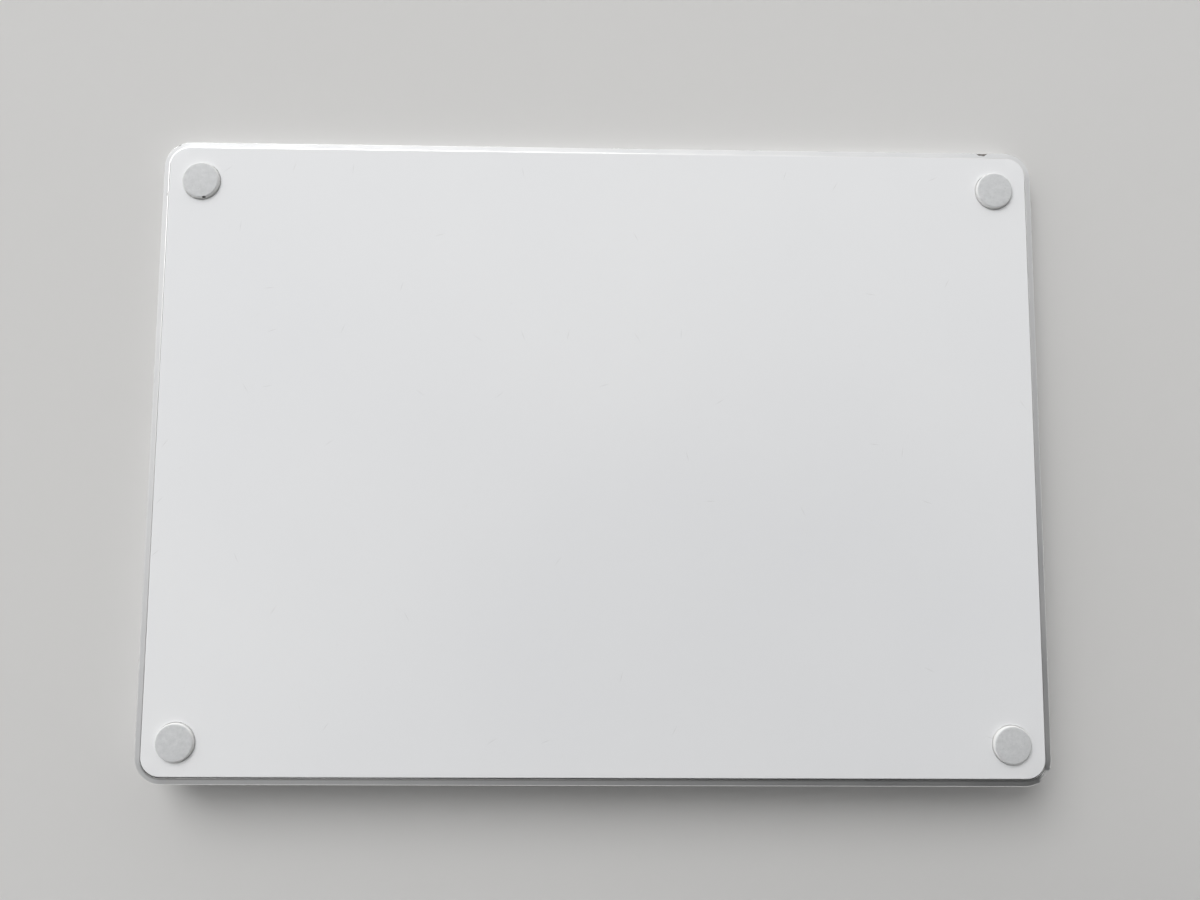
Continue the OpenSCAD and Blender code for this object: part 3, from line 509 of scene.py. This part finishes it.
carve(tub, [antenna_slot])
carve(tub, bosses, "UNION")
port_window_w, port_window_h, window_z = 9.24, 3.46, 5.7
switch_window_w, switch_window_h, switch_window_x = 7.5, 2.8, -60.0
windows = [window_tool("port_window", port_window_w, port_window_h, 0.0, window_z),
           window_tool("switch_window", switch_window_w, switch_window_h, switch_window_x, window_z)]
carve(tub, holes + windows)
carve(tub, [nick(middle, reach, knock_inside_dark) for middle, reach in chips])
even_shading(tub)
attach(tub, "base")
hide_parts("housing")


# Charging port. A drawn steel shell with a rolled mouth stands in the rear wall, round a moulded tongue with
# two rows of gold-plated contacts. A steel strap over the shell is screwed down through the main board.
port_z, port_back, port_mouth = 5.7, 49.75, 57.15
port_w, port_h, port_t, port_roll = 8.94, 3.16, 0.3, 0.13


def dress(finish, *names, ease=0.0):
    """Gives solids of the model a finish, and eases their edges by a small amount in millimetres."""
    for name in names:
        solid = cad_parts[name]
        if not solid.material_slots:
            solid.data.materials.append(finish)
        for spot in solid.material_slots:
            spot.material = finish
        if ease:
            solid.modifiers.new("joined", "WELD").merge_threshold = 1e-7
            eased = solid.modifiers.new("eased", "BEVEL")
            eased.width = ease * mm
            eased.segments = 2
            eased.angle_limit = math.radians(40)
            solid.modifiers.new("flats", "WEIGHTED_NORMAL").keep_sharp = True


def rolled_metal(name, dark, bright, roughness, stretch=(0.04, 1.0, 1.0)):
    """Sheet metal with the fine streaks of the rolls along one axis."""
    made, shader, place = finish_of(name, roughness, 1.0)
    streaks = grain(made, place, 12.0, 3.0, stretch=stretch)
    blotch = grain(made, place, 0.4, 3.0)
    feed(made, shader, "Base Color", blend(made, spread(made, streaks, 0.0, 1.0), dark, bright))
    feed(made, shader, "Roughness", spread(made, blotch, roughness - 0.06, roughness + 0.08))
    relief(made, shader, streaks, 0.004, 0.5)
    return made


def moulded(name, dark, bright, roughness):
    """Moulded plastic with the fine spark-eroded grain of its mould."""
    made, shader, place = finish_of(name, roughness)
    skin_grain = grain(made, place, 8.0, 3.0)
    flow = grain(made, place, 0.25, 2.0)
    feed(made, shader, "Base Color", blend(made, spread(made, flow, 0.0, 1.0), dark, bright))
    feed(made, shader, "Roughness", spread(made, skin_grain, roughness - 0.08, roughness + 0.08))
    relief(made, shader, skin_grain, 0.012, 0.5)
    return made


steel = rolled_metal("steel", (0.47, 0.465, 0.455), (0.60, 0.595, 0.585), 0.3)
gold = rolled_metal("gold_plate", (0.80, 0.58, 0.26), (0.90, 0.70, 0.36), 0.22, (1.0, 0.05, 1.0))
black_plastic = moulded("black_plastic", (0.014, 0.014, 0.015), (0.026, 0.026, 0.027), 0.5)


def on_edge(loop, y):
    """A level loop stood on edge, so that its depth becomes height, at a given place from front to rear."""
    return [Vector((point.x, y, point.y)) for point in loop]


shell = skin("port_shell_drawn", [oblong_loop(port_w - 2 * into, port_h - 2 * into, 0.0, y, port_z)
                                  for into, y, lean in softened([
                                      (0.0, port_back, 0, 0.04), (0.0, port_mouth, 0, port_roll),
                                      (port_t, port_mouth, 0, port_roll), (port_t, port_back, 0, 0.04)])],
             steel, joined_ends=True)
even_shading(shell)
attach(shell, "base")
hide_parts("port_shell")

tongue_w, tongue_t, tongue_r, tongue_back, tongue_tip = 6.7, 0.7, 0.12, 51.75, 56.35
tongue_steps = ((tongue_back, 0.0), (tongue_tip - 0.2, 0.0), (tongue_tip - 0.07, 0.05), (tongue_tip, 0.18))
tongue_loops = []
for y, into in tongue_steps:
    flat = block_loop(tongue_w - 2 * into, tongue_t - 2 * into, tongue_r, 0.0, port_z, 0.0)
    tongue_loops.append(on_edge(flat, y))
tongue = skin("port_tongue_moulded", tongue_loops, black_plastic)
contact_pitch, contact_w, contact_proud, contact_r = 0.5, 0.27, 0.03, 0.02
contact_count, contact_ends = 12, (52.4, 55.6)
contacts = []
for face in (-1, 1):
    for k in range(contact_count):
        x = (k - (contact_count - 1) / 2) * contact_pitch
        z = port_z + face * tongue_t / 2
        strip = block_loop(contact_w, 2 * contact_proud, contact_r, x, z, 0.0, 3)
        contacts.append(skin("contact", [on_edge(strip, y) for y in contact_ends], gold))
carve(tongue, contacts, "UNION")
even_shading(tongue)
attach(tongue, "base")
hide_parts("port_tongue")
dress(black_plastic, "port_insulator")
dress(steel, "port_bracket", "port_screws")

# Power switch. A white plastic knob with a raised grip bar slides in a slot of the rear wall. A coloured
# shutter moves with it behind the wall: beside the knob it shows green when the pad is on, and dark when off.
knob_x, knob_z, knob_back, knob_face = -61.25, 5.7, 55.35, 57.2
knob_l, knob_h, grip_w, grip_h, grip_face = 4.6, 2.4, 0.6, 1.2, 57.39
knob_white = moulded("knob_plastic", (0.73, 0.73, 0.725), (0.80, 0.80, 0.795), 0.4)
knob = skin("switch_knob_moulded", [oblong_loop(knob_l - 2 * into, knob_h - 2 * into, knob_x, y, knob_z)
                                    for into, y, lean in softened([
                                        (0.6, knob_back, 0, 0), (0.0, knob_back, 0, 0.03),
                                        (0.0, knob_face, 0, 0.28), (0.6, knob_face, 0, 0)], 6)], knob_white)
grip = skin("grip", [on_edge(block_loop(grip_w - 2 * into, grip_h - 2 * into, 0.1, knob_x, knob_z, 0.0), y)
                     for y, into in ((knob_face - 0.4, 0.0), (grip_face - 0.1, 0.0), (grip_face - 0.03, 0.03),
                                     (grip_face, 0.09))])
carve(knob, [grip], "UNION")
even_shading(knob)
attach(knob, "power_switch")
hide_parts("switch_knob")

shutter, shader, place = finish_of("shutter_green", 0.45)
across = node(shutter, "SeparateXYZ", {0: place}).outputs[0]
is_off = node(shutter, "Math", {0: across, 1: knob_x * mm}, operation="GREATER_THAN").outputs[0]
speckle = grain(shutter, place, 8.0)
green = blend(shutter, spread(shutter, speckle, 0.0, 1.0), (0.03, 0.42, 0.12), (0.05, 0.52, 0.17))
dark = blend(shutter, spread(shutter, speckle, 0.0, 1.0), (0.05, 0.05, 0.052), (0.08, 0.08, 0.082))
feed(shutter, shader, "Base Color", blend(shutter, is_off, green, dark))
relief(shutter, shader, speckle, 0.01, 0.4)
dress(shutter, "switch_shutter", ease=0.08)
dress(black_plastic, "switch_body", ease=0.08)
dress(steel, "switch_bracket", "switch_screws")


def printed_film(name, base, track, per_mm, across_x=True):
    """Polyimide film with rows of copper tracks that show through it."""
    made, shader, place = finish_of(name, 0.35)
    axis = node(made, "SeparateXYZ", {0: place}).outputs[0 if across_x else 1]
    wave = node(made, "Math", {0: times(made, axis, 2 * math.pi * per_mm / mm)}, operation="SINE").outputs[0]
    cloud = grain(made, place, 0.8)
    tone = blend(made, spread(made, wave, 0.0, 1.0, 0.1, 0.5), base, track)
    tone = blend(made, spread(made, cloud, 0.0, 0.25), tone, (0.30, 0.16, 0.04))
    feed(made, shader, "Base Color", tone)
    relief(made, shader, wave, 0.01, 0.4)
    return made


film = printed_film("flex_film", (0.48, 0.26, 0.06), (0.62, 0.36, 0.12), 1.6)
film_across = printed_film("flex_film_across", (0.48, 0.26, 0.06), (0.62, 0.36, 0.12), 1.6, across_x=False)
dress(film_across, "switch_flex")

# Main board. A long green circuit board on bosses, with its chips, connectors, shield can and radio module
# soldered on top, a bent copper antenna over a slot in the floor, and a folded film lead to the touch sensor.
board_green, shader, place = finish_of("circuit_board", 0.38)
cells = node(board_green, "TexVoronoi", {"Vector": place, "Scale": 0.55 / mm},
             feature="F1", distance="MANHATTAN")
edges = node(board_green, "TexVoronoi", {"Vector": place, "Scale": 0.9 / mm}, feature="DISTANCE_TO_EDGE")
pads = spread(board_green, cells.outputs["Distance"], 1.0, 0.0, 0.10, 0.13)
tracks = spread(board_green, edges.outputs["Distance"], 1.0, 0.0, 0.05, 0.09)
tone = blend(board_green, tracks, (0.006, 0.085, 0.036), (0.014, 0.16, 0.07))
tone = blend(board_green, pads, tone, (0.62, 0.60, 0.55))
feed(board_green, shader, "Base Color", tone)
relief(board_green, shader, tracks, 0.02, 0.5)
ivory = moulded("connector_plastic", (0.66, 0.62, 0.53), (0.74, 0.70, 0.61), 0.45)
bare_copper = rolled_metal("antenna_copper", (0.62, 0.31, 0.17), (0.76, 0.42, 0.26), 0.28)
dress(board_green, "main_board")
dress(black_plastic, "board_chips", ease=0.1)
dress(ivory, "board_connectors", ease=0.1)
dress(steel, "shield_can", "radio_module", "board_screws")
dress(bare_copper, "antenna")

lead_t, press_travel = 0.15, 0.2
lead_low, lead_high = (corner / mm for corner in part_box("sensor_flex"))
fold_r = (lead_high.z - lead_low.z) / 2
fold_y, fold_z = lead_low.y + fold_r, lead_low.z + fold_r
fold_steps = 24
lead_path = [(lead_high.y, -90), (fold_y, -90)]
lead_path += [(fold_y, -90 - 180 * k / fold_steps) for k in range(1, fold_steps + 1)]
lead_path += [(lead_high.y, -270)]
lead_loops = []
for y, turn in lead_path:
    spoke = Vector((0.0, math.cos(math.radians(turn)), math.sin(math.radians(turn))))
    outer, inner = (Vector((0.0, y, fold_z)) + spoke * radius for radius in (fold_r, fold_r - lead_t))
    lead_loops.append([Vector((x, point.y, point.z)) for x, point in (
        (lead_low.x, outer), (lead_high.x, outer), (lead_high.x, inner), (lead_low.x, inner))])
lead = skin("sensor_lead_film", lead_loops, film)
even_shading(lead)
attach(lead, "base")
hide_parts("sensor_flex")
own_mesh(lead)

# Battery. A flat pouch cell in crinkled foil lies in its rib frame on two strips of glue. Its safety board
# sits on the sealed ledge at the rear, and a short film lead plugs into the main board.
foil, shader, place = finish_of("pouch_foil", 0.36, 0.85)
crinkle = grain(foil, place, 0.35, 6.0, 0.62)
cross_hatch = grain(foil, place, 5.0, 2.0)
tone = blend(foil, spread(foil, crinkle, 0.0, 1.0), (0.52, 0.525, 0.53), (0.66, 0.665, 0.67))
feed(foil, shader, "Base Color", tone)
feed(foil, shader, "Roughness", spread(foil, crinkle, 0.30, 0.44))
relief(foil, shader, cross_hatch, 0.01, 0.3, under=relief(foil, shader, crinkle, 0.25, 0.5))
glue = moulded("adhesive", (0.50, 0.48, 0.43), (0.60, 0.585, 0.54), 0.6)
dress(foil, "battery_cell", ease=0.25)
dress(glue, "battery_adhesive")
dress(board_green, "battery_board")
dress(film, "battery_lead")

# Shaker. An electromagnet on a steel plate: a soft-iron core with two wound limbs is screwed to the floor,
# and its armature hangs from the stiffener beside the limbs, so that a pulse shakes the glass sideways.
iron = rolled_metal("iron", (0.20, 0.195, 0.19), (0.30, 0.295, 0.285), 0.42, (1.0, 1.0, 9.0))
winding, shader, place = finish_of("copper_winding", 0.3, 1.0)
axis = node(winding, "SeparateXYZ", {0: place}).outputs[0]
turns_per_mm = 5.0
wire_phase = times(winding, axis, 2 * math.pi * turns_per_mm / mm)
wire = node(winding, "Math", {0: wire_phase}, operation="SINE").outputs[0]
lacquer = grain(winding, place, 0.7, 3.0)
tone = blend(winding, spread(winding, lacquer, 0.0, 1.0), (0.56, 0.23, 0.09), (0.74, 0.36, 0.17))
# The grooves between the turns are painted dark: a painted shade.
tone = blend(winding, spread(winding, wire, 1.0, 0.0, -1.0, -0.2), tone, (0.16, 0.06, 0.03))
feed(winding, shader, "Base Color", tone)
relief(winding, shader, wire, 0.06)
dress(steel, "haptic_bracket", "haptic_screws")
dress(iron, "haptic_core", "haptic_armature", ease=0.1)
dress(winding, "haptic_coils")

# Springs. Four slotted plates of spring steel are screwed to the tub's bosses. A gel pad on the tongue of
# each carries the glass, and a strain gauge at the tongue's root measures how hard it is pressed.
spring_steel = rolled_metal("spring_steel", (0.42, 0.40, 0.36), (0.54, 0.52, 0.48), 0.27, (1.0, 0.05, 1.0))
gel, shader, place = finish_of("gel", 0.22)
bubbles = grain(gel, place, 2.5, 3.0)
tone = blend(gel, spread(gel, bubbles, 0.0, 1.0), (0.46, 0.56, 0.62), (0.60, 0.68, 0.72))
feed(gel, shader, "Base Color", tone)
shader.inputs["Transmission Weight"].default_value = 0.35
relief(gel, shader, bubbles, 0.03, 0.4)
gauge_film = printed_film("gauge_film", (0.50, 0.27, 0.06), (0.66, 0.42, 0.16), 4.0, across_x=False)
dress(spring_steel, "flexure_front_left", "flexure_front_right", "flexure_rear_left", "flexure_rear_right")
dress(gel, "gel_pads")
dress(gauge_film, "strain_gauges")
dress(film_across, "gauge_flex")
dress(steel, "flexure_screws")

# Touch glass. One sheet of strengthened glass, etched to a silky matt on top and coloured white from behind,
# ground to the tub's outline with a polished edge. It stands over the tub on a seam, so it can be pressed.
glass_t, glass_edge, sheet_cap = 1.0, 0.22, 4.0
white_glass, shader, place = finish_of("white_glass", 0.3)
etch = grain(white_glass, place, 14.0, 2.0)
hands = grain(white_glass, place, 0.03, 4.0)
tone = blend(white_glass, spread(white_glass, hands, 0.0, 1.0), (0.775, 0.78, 0.785), (0.80, 0.80, 0.80))
feed(white_glass, shader, "Base Color", tone)
feed(white_glass, shader, "Roughness", spread(white_glass, hands, 0.34, 0.44))
shader.inputs["Coat Weight"].default_value = 0.15
shader.inputs["Coat Roughness"].default_value = 0.25
relief(white_glass, shader, etch, 0.004, 0.35)
glass = skin("touch_glass_sheet", [pad_loop(*step) for step in softened([
    (sheet_cap, deck(glass_t), 1, 0),
    (0.0, deck(glass_t), 1, 0.1),
    (0.0, deck(0.0), 1, glass_edge),
    (sheet_cap, deck(0.0), 1, 0),
], 6)], white_glass)
even_shading(glass)
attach(glass, "touch_stage")
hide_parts("touch_glass")
dress(glue, "glass_bond")
dress(board_green, "sensor_board")
dress(black_plastic, "touch_controller", "sensor_connector", ease=0.1)
dress(steel, "stiffener_plate")

# Underside cover. A moulded sheet of satin white plastic, glued into the tub's pocket so that it stands a
# little proud of the rim. It is set towards the front, so its seam is widest at the rear. Each foot has a
# round seat in it.
cover_inset, cover_bot, cover_top, cover_edge, cover_ahead = 1.4, 0.7, 1.5, 0.15, 0.09
seat_r, seat_top = 3.42, 1.1
foot_nodes = ("foot_front_left", "foot_front_right", "foot_rear_left", "foot_rear_right")

satin_white, shader, place = finish_of("white_plastic", 0.54)
shader.inputs["Specular IOR Level"].default_value = 0.2
texture = grain(satin_white, place, 6.0, 2.0)
wave = grain(satin_white, place, 0.012, 2.0)
dust = grain(satin_white, place, 1.6, 5.0, 0.7)
tone = blend(satin_white, spread(satin_white, wave, 0.0, 1.0), (0.78, 0.787, 0.80), (0.81, 0.815, 0.822))
tone = blend(satin_white, spread(satin_white, dust, 0.0, 0.5, 0.62, 0.85), tone, (0.70, 0.695, 0.68))


def scratches(made, place, per_mm, length, width, share):
    """Sparse short lines, each at its own turn, at most one to a cell of the given size."""
    cells = node(made, "TexVoronoi", {"Vector": place, "Scale": per_mm / mm, "Randomness": 1.0},
                 feature="F1", voronoi_dimensions="2D")
    local = node(made, "VectorMath", {0: place, 1: cells.outputs["Position"]},
                 operation="SUBTRACT").outputs[0]
    chance = node(made, "SeparateColor", {0: cells.outputs["Color"]})
    turn = times(made, chance.outputs[0], math.pi)
    turned = node(made, "VectorRotate", {"Vector": local, "Angle": turn}, rotation_type="Z_AXIS").outputs[0]
    along = node(made, "SeparateXYZ", {0: turned})
    line = times(made, near(made, along.outputs[0], 0.0, length * mm),
                 near(made, along.outputs[1], 0.0, width * mm))
    chosen = node(made, "Math", {0: chance.outputs[1], 1: 1.0 - share}, operation="GREATER_THAN").outputs[0]
    return times(made, line, chosen)


scuff = scratches(satin_white, place, 0.10, 1.1, 0.07, 0.3)
tone = blend(satin_white, times(satin_white, scuff, 0.55), tone, (0.52, 0.515, 0.51))
level = node(satin_white, "SeparateXYZ", {0: place}).outputs[2]
# The cover's rounded edge and sides are painted lighter than its face: a painted highlight.
cover_edge_highlight = spread(satin_white, level, 0.0, 1.0, (cover_bot + 0.005) * mm, (cover_bot + 0.05) * mm)
tone = blend(satin_white, cover_edge_highlight, tone, (0.90, 0.90, 0.895))
feed(satin_white, shader, "Base Color", tone)
feed(satin_white, shader, "Roughness", spread(satin_white, wave, 0.5, 0.58))
flatness = relief(satin_white, shader, texture, 0.004, 0.4)
relief(satin_white, shader, scuff, -0.01, 1.0, under=flatness)

to_front = Vector((0.0, -cover_ahead, 0.0))
cover = skin("underside_cover", [[point + to_front for point in pad_loop(*step)] for step in softened([
    (sheet_cap, cover_top, 0, 0),
    (cover_inset, cover_top, 0, 0.05),
    (cover_inset, cover_bot, 0, cover_edge),
    (sheet_cap, cover_bot, 0, 0),
], 6)], satin_white)


def foot_middle(name):
    """The middle of a foot in the plan, in millimetres, from the solids of the model."""
    low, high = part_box(name)
    return ((low.x + high.x) / 2 / mm, (low.y + high.y) / 2 / mm, 0.0)


seat_steps = ((0.3, cover_bot - 0.25), (0.06, cover_bot), (0.015, cover_bot + 0.05),
              (0.0, cover_bot + 0.12), (0.0, seat_top))
seats = []
for name in foot_nodes:
    rings = [disc_loop(seat_r + more, foot_middle(name), z, steps=64) for more, z in seat_steps]
    seats.append(skin("seat", rings))
carve(cover, seats)
even_shading(cover)
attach(cover, "base")
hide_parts("bottom_cover")
dress(glue, "cover_adhesive")

# Feet. Four moulded discs of grey rubber, each glued into its seat, with a rounded edge and a fine matt skin
# that is a little worn and dusty where it stands on the table.
foot_r, foot_top, foot_edge, foot_cap_r = 3.36, 1.1, 0.40, 0.4
rubber, shader, place = finish_of("grey_rubber", 0.62)
mottle = grain(rubber, place, 1.1, 5.0, 0.65)
pores = grain(rubber, place, 7.0, 2.0)
tone = blend(rubber, spread(rubber, mottle, 0.0, 1.0), (0.536, 0.546, 0.552), (0.647, 0.654, 0.660))
level = node(rubber, "SeparateXYZ", {0: place}).outputs[2]
# The feet's rounded edge and flank are painted near white and made smoother: a painted highlight.
foot_edge_highlight = spread(rubber, level, 0.0, 1.0, 0.03 * mm, 0.15 * mm)
specks = grain(rubber, place, 1.9, 3.0, 0.6)
tone = blend(rubber, spread(rubber, pores, 0.0, 0.3, 0.55, 0.75), tone, (0.36, 0.36, 0.36))
tone = blend(rubber, spread(rubber, specks, 0.0, 0.6, 0.66, 0.76), tone, (0.30, 0.29, 0.28))
tone = blend(rubber, foot_edge_highlight, tone, (0.79, 0.79, 0.78))
feed(rubber, shader, "Base Color", tone)
matt = node(rubber, "Math", {0: spread(rubber, mottle, 0.52, 0.7), 1: times(rubber, foot_edge_highlight, 0.22)},
            operation="SUBTRACT")
feed(rubber, shader, "Roughness", matt.outputs[0])
relief(rubber, shader, pores, 0.02, 0.5)
worn, shader, place = finish_of("worn_rubber", 0.7)
crumbs = grain(worn, place, 6.0, 4.0)
tone = blend(worn, spread(worn, crumbs, 0.0, 1.0), (0.10, 0.10, 0.10), (0.24, 0.235, 0.23))
feed(worn, shader, "Base Color", tone)
relief(worn, shader, crumbs, 0.05)
torn_foot, tear, tear_reach = "foot_front_left", (-71.95, -46.62, 0.16), (0.34, 0.2, 0.24)

foot_profile = softened([
    (foot_cap_r, 0.0, 0, 0),
    (foot_r, 0.0, 0, foot_edge),
    (foot_r, foot_top, 0, 0.06),
    (foot_cap_r, foot_top, 0, 0),
], 7)
for name in foot_nodes:
    rings = [disc_loop(radius, foot_middle(name), z, steps=72) for radius, z, lean in foot_profile]
    foot = skin(name + "_rubber", rings, rubber)
    if name == torn_foot:
        carve(foot, [nick(tear, tear_reach, worn)])
    even_shading(foot)
    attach(foot, "base")
    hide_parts(name)

# Stage. A pale table top carries the pad for the views from above, and a second sheet just over the glass is
# the ground behind it in the view of the underside. Each shows only from its own side, and fades away.
pale_paper = (0.65, 0.645, 0.635, 1.0)
stage_gap, stage_reach = 0.2, 6000.0
fade_start, fade_end = 0.35, 2.0


def stage_paper(name, blocks_light):
    """Pale paper, clear from behind. A table blocks light too, unless the view came up through its layers."""
    paper = bpy.data.materials.new(name)
    paper.use_nodes = True
    paper.node_tree.nodes.clear()
    path = node(paper, "LightPath")
    behind = node(paper, "NewGeometry").outputs["Backfacing"]
    front = node(paper, "Math", {0: 1.0, 1: behind}, operation="SUBTRACT")
    if blocks_light:
        taken = node(paper, "Math", {0: path.outputs["Transparent Depth"], 1: 1.5}, operation="LESS_THAN")
    else:
        taken = path
    shows = node(paper, "Math", {0: path.outputs["Is Camera Ray"], 1: taken.outputs[0]}, operation="MAXIMUM")
    seen = node(paper, "Math", {0: shows.outputs[0], 1: front.outputs[0]}, operation="MULTIPLY")
    matt = node(paper, "BsdfDiffuse", {"Color": pale_paper})
    sky = node(paper, "Emission", {"Color": backdrop})
    reach = node(paper, "VectorMath", {0: node(paper, "TexCoord").outputs["Object"]}, operation="LENGTH")
    away = node(paper, "MapRange", {"Value": reach.outputs["Value"], "From Min": fade_start,
                                    "From Max": fade_end}, interpolation_type="SMOOTHSTEP")
    sweep = node(paper, "MixShader", {0: away.outputs["Result"], 1: matt.outputs[0], 2: sky.outputs[0]})
    clear = node(paper, "BsdfTransparent")
    shown = node(paper, "MixShader", {0: seen.outputs[0], 1: clear.outputs[0], 2: sweep.outputs[0]})
    node(paper, "OutputMaterial", {"Surface": shown.outputs[0]})
    return paper


def stage_sheet(name, heights, lean, face, blocks_light):
    """Large sheets at the given heights in millimetres; lean 1 follows the slope of the touch surface."""
    mesh = bpy.data.meshes.new(name)
    points = [Vector((i * stage_reach, j * stage_reach, z + lean * slope * j * stage_reach)) * mm
              for z in heights for i, j in ((-1, -1), (1, -1), (1, 1), (-1, 1))]
    mesh.from_pydata(points, [], [tuple(4 * k + i for i in face) for k in range(len(heights))])
    mesh.materials.append(stage_paper(name, blocks_light))
    sheet = bpy.data.objects.new(name, mesh)
    bpy.context.scene.collection.objects.link(sheet)


stage_sheet("table_top", (-stage_gap, -2 * stage_gap), 0, (0, 1, 2, 3), True)
stage_sheet("underside_sheet", (deck(-stage_gap),), 1, (3, 2, 1, 0), False)

# Light tent. A large pale bowl hangs under the table and lights the underside: bright towards the front left,
# darker towards the rear right and straight below, so that the rim shows the picture's run of tones.
tent_r, tent_rings, tent_sides, tent_brightest = 4500.0, 16, 48, 1.05
tent_cloth = bpy.data.materials.new("tent_cloth")
tent_cloth.use_nodes = True
tent_cloth.node_tree.nodes.clear()
tent_cloth.cycles.emission_sampling = "NONE"
cloth_place = node(tent_cloth, "TexCoord").outputs["Object"]
spot = node(tent_cloth, "VectorMath", {0: cloth_place}, operation="NORMALIZE")
towards = node(tent_cloth, "SeparateXYZ", {0: spot.outputs[0]})
front_to_rear = spread(tent_cloth, towards.outputs[1], 1.11, 0.296, -0.5, 0.30)
left_to_right = spread(tent_cloth, towards.outputs[0], 0.22, -0.22, -0.5, 0.5)
both = node(tent_cloth, "Math", {0: front_to_rear, 1: left_to_right}).outputs[0]
level = node(tent_cloth, "Math", {0: both, 1: tent_brightest}, operation="MINIMUM").outputs[0]
straight_below = spread(tent_cloth, towards.outputs[2], 1.0, 0.2, -0.5, -0.85)
glow = node(tent_cloth, "Emission", {"Color": level, "Strength": straight_below})
node(tent_cloth, "OutputMaterial", {"Surface": glow.outputs[0]})
tent_points, tent_faces = [], []
for r in range(tent_rings):
    dip = math.pi / 2 * (r + 0.02) / tent_rings
    for k in range(tent_sides):
        turn = 2 * math.pi * k / tent_sides
        out = Vector((math.cos(turn) * math.cos(dip), math.sin(turn) * math.cos(dip), -math.sin(dip)))
        tent_points.append(out * tent_r * mm)
for r in range(tent_rings - 1):
    here, below = r * tent_sides, (r + 1) * tent_sides
    for k in range(tent_sides):
        ahead = (k + 1) % tent_sides
        tent_faces.append((here + k, here + ahead, below + ahead, below + k))
tent_faces.append(tuple((tent_rings - 1) * tent_sides + k for k in range(tent_sides)))
tent_mesh = bpy.data.meshes.new("light_tent")
tent_mesh.from_pydata(tent_points, [], tent_faces)
tent_mesh.materials.append(tent_cloth)
light_tent = bpy.data.objects.new("light_tent", tent_mesh)
light_tent.visible_camera = False
bpy.context.scene.collection.objects.link(light_tent)

# Camera body. A dark card just behind the lens stands for the camera itself. It is hidden from the view, but
# the satin cover mirrors it a little, as in the picture.
camera_w, camera_d, camera_place = 150.0, 75.0, Vector((35.0, 30.0, -182.0))
camera_mesh = bpy.data.meshes.new("camera_body")
camera_mesh.from_pydata([(camera_place + Vector((i * camera_w / 2, j * camera_d / 2, 0.0))) * mm
                         for i, j in ((-1, -1), (1, -1), (1, 1), (-1, 1))], [], [(0, 1, 2, 3)])
camera_body = bpy.data.objects.new("camera_body", camera_mesh)
bpy.context.scene.collection.objects.link(camera_body)
black = finish_of("camera_black", 0.6, colour=(0.05, 0.05, 0.05))[0]
camera_mesh.materials.append(black)
camera_body.visible_camera = False
